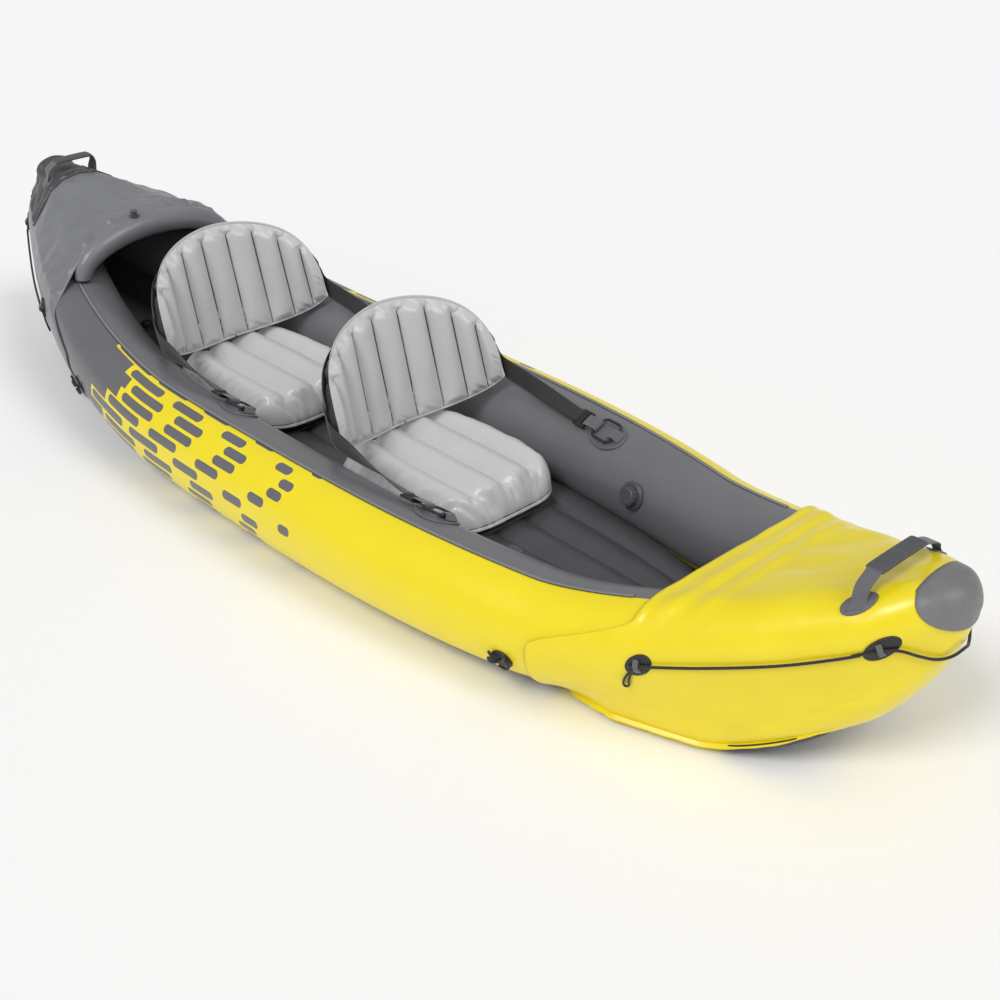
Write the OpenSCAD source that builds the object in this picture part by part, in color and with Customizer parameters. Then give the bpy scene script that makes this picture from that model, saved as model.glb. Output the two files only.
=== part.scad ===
// Two-seat inflatable kayak: side tubes, air floor, bow and stern covers and strapped air seats.
// Millimetres. +X is the bow, +Y is port, +Z is up, and the origin is on the ground below the middle.

/* [Hull] */
// Overall length, stern to the tip of the bow bumper
hull_l = 3120; // [2960:10:3400]
// Overall beam across the side tubes
beam = 906; // [880:2:940]
// Diameter of a side tube amidships
tube_d = 240; // [230:2:250]
// Height of the side tubes above the ground amidships
tube_lift = 18; // [14:1:24]
// Gap between the side tubes where they press together at the ends
tube_gap = 1; // [0.6:0.2:3]
// Thickness of the bottom skin and of the end covers
skin_t = 2.5; // [1.5:0.5:4]
// Gap between two layers of skin
layer_gap = 0.7; // [0.5:0.1:1]
// Gap between a tube and the skin over it
cover_gap = 3; // [2.5:0.5:4]
// Length of the rounded part of each end
nose_l = 120; // [100:5:140]
// Half width of the flat of the bottom amidships
keel_w = 225; // [205:5:240]
// Radius of the edge of the flat bottom
keel_edge = 60; // [50:2:66]

/* [Bow] */
// Height that the side tubes rise to the bow
bow_rise = 266; // [240:4:290]
// Length over which they rise
bow_rise_l = 760; // [720:10:800]
// Radius of a tube at the bow
bow_end_r = 82; // [76:1:90]
// Power of the curve that draws the tubes together at the bow
bow_taper = 2.7; // [2.5:0.1:3]
// Sharpness of the bow in plan
bow_sharp = 1.1; // [1:0.05:1.3]
// Height of the middle of the nose
bow_nose_z = 408; // [395:1:420]
// Height that the keel rises at the bow
bow_keel_rise = 250; // [230:5:270]
// Length over which the keel rises at the bow
bow_keel_l = 400; // [370:5:430]
// Length of the bow cover along the deck
bow_deck_l = 520; // [500:10:600]
// Length of the bow cover along the sides and below
bow_side_l = 710; // [660:10:760]

/* [Stern] */
// Height that the side tubes rise to the stern
stern_rise = 243; // [215:4:260]
// Length over which they rise
stern_rise_l = 1120; // [1040:10:1180]
// Radius of a tube at the stern
stern_end_r = 76; // [70:1:84]
// Power of the curve that draws the tubes together at the stern
stern_taper = 2.9; // [2.7:0.1:3.1]
// Sharpness of the stern in plan
stern_sharp = 1.25; // [1.1:0.05:1.4]
// Height of the middle of the stern end
stern_nose_z = 400; // [385:5:415]
// Height that the keel rises at the stern
stern_keel_rise = 260; // [240:5:280]
// Length over which the keel rises at the stern
stern_keel_l = 450; // [420:5:480]
// Length of the stern cover along the sides and below
stern_side_l = 710; // [660:10:760]
// Distance of the coaming arch from the stern
coaming_from_end = 575; // [540:5:600]
// Height of the top of the coaming arch
coaming_top = 468; // [450:2:485]
// Diameter of the coaming arch at its top
coaming_d = 66; // [56:2:72]
// Diameter of the coaming arch where it stands on the tubes
coaming_foot_d = 46; // [36:2:52]
// Height that the stern deck rises from the coaming to the end
stern_deck_rise = 16; // [10:2:30]

/* [Bumper and patches] */
// Thickness of the bow bumper
bumper_t = 5; // [4:0.5:8]
// Length of the bow bumper along the top
bumper_top_l = 74; // [64:2:90]
// Length of the bow bumper below
bumper_low_l = 8; // [8:1:16]
// Thickness of a welded patch
patch_t = 3; // [2:0.5:4]
// Radius of a round line disc
disc_r = 24; // [20:1:28]
// Radius of a handle patch
handle_patch_r = 26; // [22:1:30]
// Length of the wear patch under the bow
wear_l = 170; // [140:5:190]

/* [Floor] */
// Height of the air floor
floor_h = 92; // [84:1:96]
// Number of lengthwise tubes in the floor
floor_tubes = 5; // [3:1:7]
// Distance of the fore end of the floor from the bow
floor_from_bow = 550; // [520:10:640]
// Distance of the aft end of the floor from the stern
floor_from_stern = 380; // [360:10:450]
// Greatest width of the floor
floor_w = 456; // [420:4:464]

/* [Seats] */
// Place of the fold between cushion and backrest of the front seat
seat_x = 58; // [40:2:80]
// Distance between the two seats
seat_pitch = 688; // [660:4:720]
// Length of a cushion
cushion_l = 422; // [395:5:430]
// Length of the cushion behind the fold, under the backrest
cushion_tuck = 40; // [30:2:50]
// Room beside a cushion, to the side tube amidships
cushion_gap = 27; // [21:1:43]
// Height of a cushion at its crown
cushion_h = 114; // [100:1:118]
// Number of lengthwise tubes in a cushion
cushion_tubes = 4; // [3:1:6]
// Thickness of the fabric under a cushion and behind a backrest
fabric_t = 2; // [1.5:0.5:3]
// Height of a backrest
back_h = 285; // [265:5:300]
// Width of a backrest along its curve
back_w = 512; // [490:2:524]
// Thickness of a backrest at the crown of its tubes
back_t = 62; // [52:2:70]
// Distance that the wings of a backrest reach forward
back_wing = 100; // [80:5:110]
// Angle by which a backrest leans aft
back_rake = 15; // [12:1:18]
// Number of upright tubes in a backrest
back_tubes = 9; // [7:1:11]

/* [Straps] */
// Width of a seat strap
strap_w = 36; // [28:1:40]
// Width of a seat strap where it is sewn to the backrest
strap_root_w = 64; // [50:2:72]
// Thickness of a strap
strap_t = 2; // [1.5:0.5:3]
// Distance of a strap ring forward of the fold of its seat
ring_ahead = 414; // [395:1:425]
// Angle of the strap rings round the tube, from the port side
ring_angle = 117; // [112:1:124]
// Length of a ring patch along the tube
ring_patch_l = 110; // [90:2:130]
// Width of a ring patch round the tube
ring_patch_w = 84; // [70:2:96]
// Diameter of the wire of a strap ring
ring_wire = 6; // [4:0.5:8]

/* [Handles] */
// Distance of a handle from its end of the hull
handle_from_end = 154; // [146:2:180]
// Angle of the handle patches round the tube, from the port side
handle_angle = 56; // [50:1:60]
// Height of the handle grip above its patches
handle_rise = 50; // [46:2:60]
// Height of the stern handle grip above its patches
stern_handle_rise = 48; // [44:2:60]
// Length of the grip
grip_l = 150; // [130:5:170]
// Diameter of the grip
grip_d = 24; // [20:1:28]
// Width of the handle webbing
web_w = 30; // [24:1:34]

/* [Line] */
// Diameter of the grab line
line_d = 6; // [5:0.5:7]

/* [Valves] */
// Distance of the side valves forward of the middle
valve_x = 620; // [580:5:660]
// Angle of the side valves round the tube, from the port side
valve_angle = 164; // [158:1:170]
// Diameter of a side valve flange
valve_d = 66; // [58:2:74]
// Diameter of a side valve cap
cap_d = 46; // [40:2:50]
// Height of a cap
cap_h = 14; // [10:1:18]
// Diameter of the thread under a cap
throat_d = 34; // [28:1:37]

/* [Skeg base] */
// Length of the slotted base for a skeg
skeg_base_l = 130; // [110:5:150]
// Distance of the base from the stern
skeg_from_end = 300; // [280:5:320]
// Width of the slot
skeg_slot = 8; // [6:0.5:10]
// Diameter of the cross hole for the lock pin
skeg_pin_d = 6; // [5:0.5:7]

/* [Hidden] */
$fn = 48;

// Colours
yellow = "#f0dc28";
gray = "#86868a";
dark_gray = "#5e5d61";
silver = "#c6c6c8";
black = "#232323";

// Driving places
half_l = hull_l / 2;
floor_fore_l = half_l - floor_from_bow;
floor_aft_l = half_l - floor_from_stern;
cover_off = cover_gap + skin_t;
on_cover = cover_off + layer_gap;
clear = 0.5;
patch_on = on_cover + clear;
bow_nose_x = half_l - bumper_t - patch_on - nose_l;
stern_nose_x = half_l - cover_off - nose_l;
mid_r = tube_d / 2;
mid_y = beam / 2 - mid_r;
cushion_w = 2 * (mid_y - mid_r - cushion_gap);
mid_z = tube_lift + mid_r;
floor_z = skin_t + layer_gap;
floor_top = floor_z + floor_h;
base_z = floor_top + layer_gap;
cushion_z = base_z + fabric_t + layer_gap;
fold_z = cushion_z + cushion_h + layer_gap;
coaming_x = coaming_from_end - half_l;
rear_seat_x = seat_x - seat_pitch;
line_on = patch_on + patch_t + 3 * clear + line_d / 2;

// Hull form: tube places and the outer skin round tubes and keel
rise_pow = 1.5;
function pick(x, at_bow, at_stern) = x >= 0 ? at_bow : at_stern;
function nose_x(x) = pick(x, bow_nose_x, stern_nose_x);
function nose_z(x) = pick(x, bow_nose_z, stern_nose_z);
function tip_x(x) = nose_x(x) + nose_l;
function near_tip(x) = pow(min(1, abs(x) / tip_x(x)), pick(x, bow_taper, stern_taper));
function climb(x, l, top) = pow(max(0, 1 - max(0, top - abs(x)) / l), rise_pow);
function tube_y(x) = mid_y * pow(1 - near_tip(x), pick(x, bow_sharp, stern_sharp));
function tube_r(x) = lerp(mid_r, pick(x, bow_end_r, stern_end_r), near_tip(x));
function tube_z(x) =
  mid_z + pick(x, bow_rise, stern_rise) * climb(x, pick(x, bow_rise_l, stern_rise_l), tip_x(x));
function keel_y(x) = min(keel_w, tube_y(x));
function keel_z(x) =
  cover_off + pick(x, bow_keel_rise, stern_keel_rise) * climb(x, pick(x, bow_keel_l, stern_keel_l), half_l);
function shrink(x, l) = sqrt(max(0, 1 - pow(max(0, abs(x) - nose_x(x)) / l, 2)));

// Coaming arch: its centre line in the section at x and its radius, for an angle from port to starboard
foot_lift = 4.6;
function arch_foot(x) = tube_z(x) + tube_r(x) + foot_lift;
function arch_top(x) =
  coaming_top - coaming_d / 2 + stern_deck_rise * min(1, (abs(x) + coaming_x) / (stern_nose_x + coaming_x));
function arch_r(b) = (coaming_foot_d + (coaming_d - coaming_foot_d) * sin(b)) / 2;
function arch(x, b) = [tube_y(x) * cos(b), arch_foot(x) + (arch_top(x) - arch_foot(x)) * sin(b), arch_r(b)];
function arch_out(x, b) = unit([cos(b) * (arch_top(x) - arch_foot(x)), tube_y(x) * sin(b)]);

// Circles [y, z, r] that the skin wraps in the section at x, drawn in by k towards the nose
arch_angles = [30, 60, 90, 120, 150];
function section(x, k) =
  let (y = tube_y(x), z = tube_z(x), r = tube_r(x), ky = keel_y(x), kz = keel_z(x) + keel_edge, n = nose_z(x),
       deck = x < coaming_x ? [for (b = arch_angles) arch(x, b)] : [],
       all = concat([[y, z, r], [-y, z, r], [ky, kz, keel_edge], [-ky, kz, keel_edge]], deck))
  [for (c = all) [k * c[0], n + k * (c[1] - n), k * c[2]]];
function skin(x, a, off) =
  let (cs = section(x, shrink(x, nose_l + off)), h = [for (c = cs) c[0] * cos(a) + c[1] * sin(a) + c[2]],
       c = cs[search(max(h), h)[0]])
  [x, c[0] + (c[2] + off) * cos(a), c[1] + (c[2] + off) * sin(a)];
function on_tube(x, a, off) =
  [x, tube_y(x) + (tube_r(x) + off) * cos(a), tube_z(x) + (tube_r(x) + off) * sin(a)];

// Vectors
function unit(v) = v / norm(v);
function lerp(a, b, t) = a + (b - a) * t;

// Faces of a grid of points, rows by columns, whose columns may close on themselves
function cells(rows, cols, closed, base = 0, flip = false) =
  [for (i = [0:rows - 2]) for (j = [0:cols - (closed ? 1 : 2)])
    let (a = base + i * cols + j, b = base + i * cols + (j + 1) % cols, c = a + cols, d = b + cols)
    each flip ? [[a, b, c], [b, d, c]] : [[a, c, b], [b, c, d]]];
function strip(a, b, flip = false) =
  [for (j = [0:len(a) - 2]) each flip
    ? [[a[j], b[j], a[j + 1]], [a[j + 1], b[j], b[j + 1]]]
    : [[a[j], a[j + 1], b[j]], [a[j + 1], b[j + 1], b[j]]]];

// Solid through rings of points, closed at each end by triangles round the middle of the ring
function middle(ring) = [for (k = [0:2]) let (v = [for (q = ring) q[k]]) (max(v) + min(v)) / 2];
module loft(rings) {
  n = len(rings[0]);
  m = len(rings);
  last = (m - 1) * n;
  polyhedron(concat([for (r = rings) each r], [middle(rings[0]), middle(rings[m - 1])]), concat(
    cells(m, n, true),
    [for (j = [0:n - 1]) [j, (j + 1) % n, m * n]],
    [for (j = [0:n - 1]) [last + (j + 1) % n, last + j, m * n + 1]]));
}

// Thin solid between two open grids of points, the outer one first
module panel(outer, inner) {
  rows = len(outer);
  cols = len(outer[0]);
  n = rows * cols;
  first = [for (j = [0:cols - 1]) j];
  last = [for (j = [0:cols - 1]) (rows - 1) * cols + j];
  left = [for (i = [0:rows - 1]) i * cols];
  right = [for (i = [0:rows - 1]) i * cols + cols - 1];
  moved = function (e) [for (q = e) q + n];
  polyhedron([for (g = [outer, inner]) for (r = g) each r], concat(
    cells(rows, cols, false),
    cells(rows, cols, false, n, true),
    strip(first, moved(first)),
    strip(last, moved(last), true),
    strip(left, moved(left), true),
    strip(right, moved(right))));
}

// Hood over one end of the hull: a shell whose edge starts at edge(a) and that closes at the nose
hood_cols = 32;
module hood(end, rows, edge, off, t) {
  tip = nose_x(end);
  angles = [for (j = [0:hood_cols - 1]) (j + 0.5) * 360 / hood_cols];
  grid = function (o) [for (i = [0:rows]) [for (a = angles)
    let (x = lerp(edge(a), tip + nose_l + o, sin(90 * i / rows)), p = skin(end * x, a, o)) [x, p[1], p[2]]]];
  outer = grid(off + t);
  inner = grid(off);
  n = (rows + 1) * hood_cols;
  rim = [for (j = [0:hood_cols]) j % hood_cols];
  mirror([end > 0 ? 0 : 1, 0, 0])
    polyhedron([for (g = [outer, inner]) for (r = g) each r], concat(
      cells(rows + 1, hood_cols, true),
      cells(rows + 1, hood_cols, true, n, true),
      strip(rim, [for (j = rim) j + n]),
      [[for (j = [hood_cols - 1:-1:0]) n - hood_cols + j]],
      [[for (j = [0:hood_cols - 1]) 2 * n - hood_cols + j]]));
}

// Patch bent over a surface: point(u, v) gives the place at u along the hull and v round it
patch_sides = 10;
module patch(point, l, w, off, t) {
  spots = [for (q = [0.03, 0.55, 1]) [for (j = [0:patch_sides - 1])
    [q * l / 2 * cos(360 * j / patch_sides), q * w / 2 * sin(360 * j / patch_sides)]]];
  top = [for (row = spots) [for (s = row) point(s[0], s[1], off + t)]];
  low = [for (row = spots) [for (s = row) point(s[0], s[1], off)]];
  loft(concat(top, [for (i = [2:-1:0]) low[i]]));
}
function tube_point(x, a) = function (u, v, o) on_tube(x + u, a + v / tube_r(x) * 180 / PI, o);
function keel_point(x) = function (u, v, o) [x + u, v, keel_z(x + u) - o];
function skin_point(x, a) = function (u, v, o) skin(x + u, a + v / tube_r(x) * 180 / PI, o);

// Frame that stands on a surface: X along the hull, Y round it, Z straight out
function base_of(point, off) =
  let (o = point(0, 0, off), u = unit(point(1, 0, off) - point(-1, 0, off)),
       n = unit(cross(point(0, 1, off) - point(0, -1, off), u)))
  [u, cross(n, u), n, o];
function place(base, p) = base[0] * p[0] + base[1] * p[1] + base[2] * p[2] + base[3];
module stand(point, off) {
  b = base_of(point, off);
  multmatrix([for (i = [0:2]) [for (k = [0:3]) b[k][i]]]) children();
}

// Round tube along points, and a flat ribbon along points with its width along given vectors
cord_sides = 6;
function along(path, i) = unit(path[min(i + 1, len(path) - 1)] - path[max(i - 1, 0)]);
module cord(path, r) {
  loft([for (i = [0:len(path) - 1])
    let (d = along(path, i), s = unit(cross(d, [0.31, 0.22, 0.93])), q = cross(s, d))
    [for (j = [0:cord_sides - 1]) path[i] + r * (s * cos(360 * j / cord_sides) - q * sin(360 * j / cord_sides))]]);
}
module ribbon(path, across, w, t, root_w = 0) {
  grid = function (side) [for (i = [0:len(path) - 1])
    let (s = unit(across[i]), n = unit(cross(along(path, i), s)),
         b = lerp(max(w, root_w), w, min(1, 1.6 * i / (len(path) - 1))))
    [for (c = [1, -1]) path[i] + s * c * b / 2 + n * side * t / 2]];
  panel(grid(1), grid(-1));
}
module both_sides() {
  children();
  mirror([0, 1, 0]) children();
}

// Side tubes, drawn in at the ends and flat where they press together
tube_sides = 30;
tube_rows = 28;
tube_nose_l = nose_l - 2;
function tube_station(i) =
  let (s = sin(90 * (2 * i / tube_rows - 1))) s >= 0
    ? s * (bow_nose_x + 0.985 * tube_nose_l) : s * (stern_nose_x + 0.985 * tube_nose_l);
module side_tube() {
  color(yellow) loft([for (i = [0:tube_rows])
    let (x = tube_station(i), k = shrink(x, tube_nose_l), z = nose_z(x))
    [for (j = [0:tube_sides - 1]) let (p = on_tube(x, 360 * (j + 0.5) / tube_sides, 0))
      [x, max(tube_gap / 2, k * p[1]), z + k * (p[2] - z)]]]);
}
module tube_port() {
  side_tube();
}
module tube_starboard() {
  mirror([0, 1, 0]) side_tube();
}

// Bottom skin under the tubes, from cover to cover
sole_angles = [228, 238, 248, 258, 265, 268.5, 271.5, 275, 282, 292, 302, 312];
sole_rows = 12;
module hull_bottom() {
  fore = half_l - bow_side_l - layer_gap;
  aft = half_l - stern_side_l - layer_gap;
  grid = function (off) [for (i = [0:sole_rows]) let (x = lerp(-aft, fore, i / sole_rows))
    [for (a = sole_angles) skin(x, a, off)]];
  color(gray) panel(grid(cover_off), grid(cover_gap));
}

// Air floor: lengthwise tubes side by side, drawn in towards both ends
lobe_steps = 6;
floor_rows = 14;
floor_gap = 6;
function floor_half(x) =
  let (fit = tube_y(x) - sqrt(max(0, pow(tube_r(x), 2) - pow(tube_z(x) - floor_z - 0.62 * floor_h, 2))),
       s = abs(x) / pick(x, floor_fore_l, floor_aft_l))
  min(floor_w / 2, fit - floor_gap) * pow(1 - pow(s, 9), 0.5);
function floor_end(x) = sqrt(1 - pow(min(1, abs(x) / pick(x, floor_fore_l, floor_aft_l)), 16));
function floor_point(x) = function (u, v, o) [x + u, -v, floor_z + floor_h / 2 * (1 + floor_end(x + u)) + o];
module air_floor() {
  n = floor_tubes * lobe_steps;
  color(dark_gray) loft([for (i = [0:floor_rows])
    let (t = sin(90 * (2 * i / floor_rows - 1)), x = t * 0.995 * pick(t, floor_fore_l, floor_aft_l),
         w = floor_half(x), e = floor_end(x), zc = floor_z + floor_h / 2,
         top = [for (j = [0:n]) let (y = 2 * j / n - 1, v = 2 * ((j / lobe_steps) % 1) - 1,
           rim = j == 0 || j == n ? 0 : 0.62)
           [x, -w * y, zc + e * floor_h / 2 * max(rim, sqrt(1 - min(1, v * v)))]],
         side = w - min(0.3 * w, floor_h / 4),
         low = [for (y = [-1, -0.5, 0, 0.5, 1]) [x, y * side, zc - e * floor_h / 2]])
    concat(low, top)]);
}

// Covers over both ends
top_normal = 11;
turn_normal = 35;
function cover_edge(a, deck, side) =
  lerp(side, deck, max(0, min(1, (90 - abs(a - 90) - top_normal) / turn_normal)));
module bow_cover() {
  edge = function (a) cover_edge(a, half_l - bow_deck_l, half_l - bow_side_l);
  color(yellow) hood(1, 12, edge, cover_gap, skin_t);
}
module stern_cover() {
  deck = coaming_d / 2 - coaming_x + clear;
  edge = function (a) cover_edge(a, deck, half_l - stern_side_l);
  color(gray) hood(-1, 12, edge, cover_gap, skin_t);
}

// Inflated arch at the front of the stern cover
module coaming_tube() {
  sides = 12;
  steps = 18;
  color(gray) loft([for (i = [0:steps])
    let (b = 180 - 180 * i / steps, c = arch(coaming_x, b), out = arch_out(coaming_x, b))
    [for (j = [0:sides - 1]) let (a = 360 * j / sides)
      [coaming_x + c[2] * sin(a), c[0] + c[2] * cos(a) * out[0], c[1] + c[2] * cos(a) * out[1]]]]);
}

// Rubber bumper on the nose of the bow cover, with its oval set high
bumper_tilt = 0.5;
module bow_bumper() {
  tip = half_l;
  edge = function (a) tip - lerp(bumper_low_l, bumper_top_l, max(0, (sin(a) + bumper_tilt) / (1 + bumper_tilt)));
  color(gray) hood(1, 4, edge, patch_on, bumper_t);
}

// Wear patch under the bow, where the keel starts to rise
wear_ahead = 30;
module bow_wear_patch() {
  aft = half_l - bow_keel_l + wear_ahead;
  grid = function (off) [for (i = [0:6]) let (x = aft + wear_l * i / 6)
    [for (a = [224, 235, 246, 257, 269, 271, 283, 294, 305, 316]) skin(x, a, off)]];
  color(black) panel(grid(on_cover + patch_t), grid(on_cover));
}

// Flap folded over the top of the stern
module stern_flap() {
  fore = half_l - handle_from_end + handle_patch_r + 4;
  aft = half_l - 24;
  grid = function (off) [for (i = [0:6]) let (x = lerp(-aft, -fore, i / 6))
    [for (a = [40:10:140]) skin(x, a, off)]];
  color(dark_gray) panel(grid(on_cover + skin_t), grid(on_cover));
}

// Round weld patches of the handles
handle_xs = [half_l - handle_from_end, handle_from_end - half_l];
module handle_patches() {
  color(dark_gray) both_sides() for (x = handle_xs)
    patch(skin_point(x, handle_angle), 2 * handle_patch_r, 2 * handle_patch_r, patch_on, patch_t);
}

// Carry handles: webbing from patch to patch through a ribbed grip
function rise_of(x) = pick(x, handle_rise, stern_handle_rise);
function handle_foot(x) = skin_point(x, handle_angle)(0, 0, patch_on + patch_t + clear + strap_t / 2);
function handle_across(x) = base_of(skin_point(x, handle_angle), patch_on)[0];
function handle_path(x) =
  let (f = handle_foot(x), top = f[2] + rise_of(x), g = grip_l / 2)
  [[x, f[1], f[2]], [x, lerp(f[1], g + 8, 0.5) + 3, lerp(f[2], top, 0.6)], [x, g + 8, top - 5], [x, g, top], [x, 0, top]];
module handle_strap(x) {
  side = handle_path(x);
  path = concat(side, [for (i = [len(side) - 2:-1:0]) [side[i][0], -side[i][1], side[i][2]]]);
  foot = handle_across(x);
  last = len(path) - 1;
  across = [for (i = [0:last]) i == 0 ? foot : i == last ? [foot[0], -foot[1], foot[2]] : [1, 0, 0]];
  color(dark_gray) ribbon(path, across, web_w, strap_t);
}
module handle_grip(x) {
  top = handle_foot(x)[2] + rise_of(x);
  color(black) translate([x, 0, top]) difference() {
    rotate([90, 0, 0]) linear_extrude(grip_l, center = true)
      hull() for (s = [-1, 1]) translate([s * web_w / 2, 0]) circle(d = grip_d, $fn = 32);
    cube([web_w + 2 * clear, grip_l + 1, strap_t + 2 * clear], center = true);
  }
}
module bow_handle_strap() {
  handle_strap(handle_xs[0]);
}
module bow_handle_grip() {
  handle_grip(handle_xs[0]);
}
module stern_handle_strap() {
  handle_strap(handle_xs[1]);
}
module stern_handle_grip() {
  handle_grip(handle_xs[1]);
}

// Grab lines: distance from the end of the hull and angle round the skin, on the port half
line_route = [[494, 1], [466, 1], [360, -2], [230, -7], [110, -9], [80, -9], [55, -12], [36, -14], [18, -42], [9, -70], [6, -90]];
line_discs_at = [[480, 1], [95, -9]];
knot_at = [770, -20];
line_steps = 3;
function line_spot(end, q) = skin(end * (half_l - q[0]), q[1], line_on);
function line_half(end) =
  [for (i = [0:len(line_route) - 2]) for (k = [0:line_steps - 1])
    line_spot(end, lerp(line_route[i], line_route[i + 1], k / line_steps))];
module grab_line(end) {
  half = line_half(end);
  tip = line_spot(end, line_route[len(line_route) - 1]);
  other = [for (i = [len(half) - 1:-1:0]) [half[i][0], -half[i][1], half[i][2]]];
  color(black) cord(concat(half, [[tip[0], 0, tip[2]]], other), line_d / 2);
}
module bow_grab_line() {
  grab_line(1);
}
module stern_grab_line() {
  grab_line(-1);
}
module at_discs() {
  both_sides() for ($end = [1, -1]) for ($at = line_discs_at) children();
}
module at_knots() {
  both_sides() for ($end = [1, -1]) children();
}
module line_discs() {
  color(black) at_discs()
    patch(skin_point($end * (half_l - $at[0]), $at[1]), 2 * disc_r, 2 * disc_r, patch_on, patch_t);
  color(black) at_knots()
    patch(tube_point($end * (half_l - knot_at[0]), knot_at[1]), 2 * disc_r, 2 * disc_r, clear, patch_t);
}

// Bow knots on the discs behind the covers
module line_knots() {
  r = line_d / 2;
  steps = 10;
  loop_l = 24;
  loop_w = 9;
  color(black) at_knots()
    stand(tube_point($end * (half_l - knot_at[0]), knot_at[1]), 2 * clear + patch_t + 2 * r) {
      cord([for (i = [0:steps]) let (t = 6 + 348 * i / steps)
        [loop_l * sin(t), loop_w * sin(2 * t), (r + 0.3) * cos(t)]], r);
      cord([[-6, -4, 0], [-16, -16, -r / 2], [-19, -26, -r / 2]], r);
      cord([[6, -4, 0], [15, -17, -r / 2], [16, -27, -r / 2]], r);
    }
}
module line_loops() {
  color(dark_gray) at_discs()
    stand(skin_point($end * (half_l - $at[0]), $at[1]), patch_on + patch_t + 0.2)
      rotate([90, 0, 90]) web_loop(line_d / 2 + clear, line_d + 4 * clear, 10, 14);
}

// Webbing welded down on both sides of a round thing of radius r, w wide, with its top at h
module web_loop(r, h, w, foot) {
  t = 1.6;
  linear_extrude(w, center = true) difference() {
    polygon([[-foot, 0], [foot, 0], [foot, t], [r + t, h + t], [-r - t, h + t], [-foot, t]]);
    polygon([[-r - 1, -1], [r + 1, -1], [r + 1, t / 2], [r, h], [-r, h], [-r - 1, t / 2]]);
  }
}

// Seats
function seat_side(x, u) = 1 - 0.09 * pow(max(0, 1 - 2 * u), 2) - 0.16 * pow(max(0, 2 * u - 1), 4);
module cushion(x0) {
  n = cushion_tubes * lobe_steps;
  rows = 14;
  color(silver) translate([x0 - cushion_tuck, 0, cushion_z]) loft([for (i = [0:rows])
    let (u = (1 + sin(90 * (2 * i / rows - 1)) * 0.998) / 2, e = sqrt(1 - pow(2 * u - 1, u < 0.5 ? 12 : 6)),
         w = cushion_w / 2 * seat_side(x0, u) * (0.86 + 0.14 * e), h = cushion_h * (0.1 + 0.9 * e),
         x = u * cushion_l,
         top = [for (j = [0:n]) let (y = 2 * j / n - 1, v = 2 * ((j / lobe_steps) % 1) - 1,
           lobe = 0.82 + 0.18 * sqrt(1 - min(1, v * v)), crown = sqrt(max(0, 1 - pow(abs(y), 5))))
           [x, -w * y, h * (0.42 + 0.58 * lobe * crown)]],
         low = [for (y = [-1, -0.5, 0, 0.5, 1]) [x, 0.9 * w * y, 0]])
    concat(low, top)]);
}
module seat_base(x0) {
  edge = 10;
  r = 30;
  color(black) translate([x0 - cushion_tuck + cushion_l / 2, 0, base_z]) linear_extrude(fabric_t)
    offset(r = r, $fn = 24) square([cushion_l - 2 * edge - 2 * r, 0.86 * cushion_w - 2 * r], center = true);
}

// Backrest: u runs across from starboard to port, q round its section from the top over the front
back_rows = back_tubes * 3;
function back_u(i) = 0.998 * (2 * i / back_rows - 1);
function back_plan(u) =
  let (s = abs(u), turn = 62 * s * s)
  [back_wing * pow(s, 1.6), sign(u) * back_w / 2 * sin(77 * s) / sin(77), turn * sign(u)];
function back_top(u) = back_h * (0.32 + 0.68 * sqrt(max(0, 1 - pow(abs(u), 1.9))));
function back_low(u) = back_h * 0.22 * pow(abs(u), 2.4);
function back_front(u) = let (v = 2 * ((u + 1) / 2 * back_tubes % 1) - 1)
  back_t * 0.5 * (0.35 + 0.65 * sqrt(1 - min(1, v * v)));
function back_point(x0, u, q, off) =
  let (p = back_plan(u), a = p[2], h = back_top(u) - back_low(u), z = back_low(u) + h * (1 + cos(q)) / 2,
       e = sin(q), edge = 1 - 0.75 * pow(abs(u), 10),
       d = (e >= 0 ? back_front(u) * edge * pow(e, 0.6) : -back_t * 0.3 * edge * pow(-e, 0.8)) + off * (e >= 0 ? 1 : -1))
  [x0 + p[0] + d * cos(a) - z * tan(back_rake), p[1] - d * sin(a), fold_z + z];
module back(x0) {
  steps = [0, 20, 50, 90, 130, 160, 180, 205, 235, 270, 305, 335];
  color(silver) loft([for (i = [0:back_rows]) [for (q = steps) back_point(x0, back_u(i), q, 0)]]);
}
module back_shell(x0) {
  steps = [335, 305, 270, 235, 205];
  grid = function (off) [for (q = steps) [for (i = [1:back_rows - 1]) back_point(x0, back_u(i), q, off)]];
  color(black) panel(grid(clear + fabric_t), grid(clear));
}

// Strap rings, their patches, buckles and the straps to the backrests
seat_xs = [seat_x, rear_seat_x];
buckle_l = 34;
buckle_t = 6;
ring_l = 58;
ring_w = 56;
tab_w = 30;
function ring_x(x0) = x0 + ring_ahead;
function buckle_x(x0) = ring_x(x0) - ring_patch_l / 2 - buckle_l / 2 - 4;
patch_off = 2 * clear;
ring_lift = clear + 1 + strap_t + clear + ring_wire / 2;
buckle_off = patch_off + patch_t + ring_lift;
module ring_patches() {
  color(dark_gray) both_sides() for (x0 = seat_xs)
    patch(tube_point(ring_x(x0), ring_angle), ring_patch_l, ring_patch_w, patch_off, patch_t);
}
module strap_rings() {
  color(black) both_sides() for (x0 = seat_xs)
    stand(tube_point(ring_x(x0), ring_angle), patch_off + patch_t + ring_lift)
      rounded_ring(ring_l, ring_w, ring_wire);
}
module ring_keepers() {
  color(gray) both_sides() for (x0 = seat_xs)
    stand(tube_point(ring_x(x0), ring_angle), patch_off + patch_t + clear)
      translate([ring_l / 2, 0, 0]) rotate([90, 0, 0])
        web_loop(ring_wire / 2 + clear, ring_lift + ring_wire / 2 + clear, ring_w - 30, 18);
}
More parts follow.
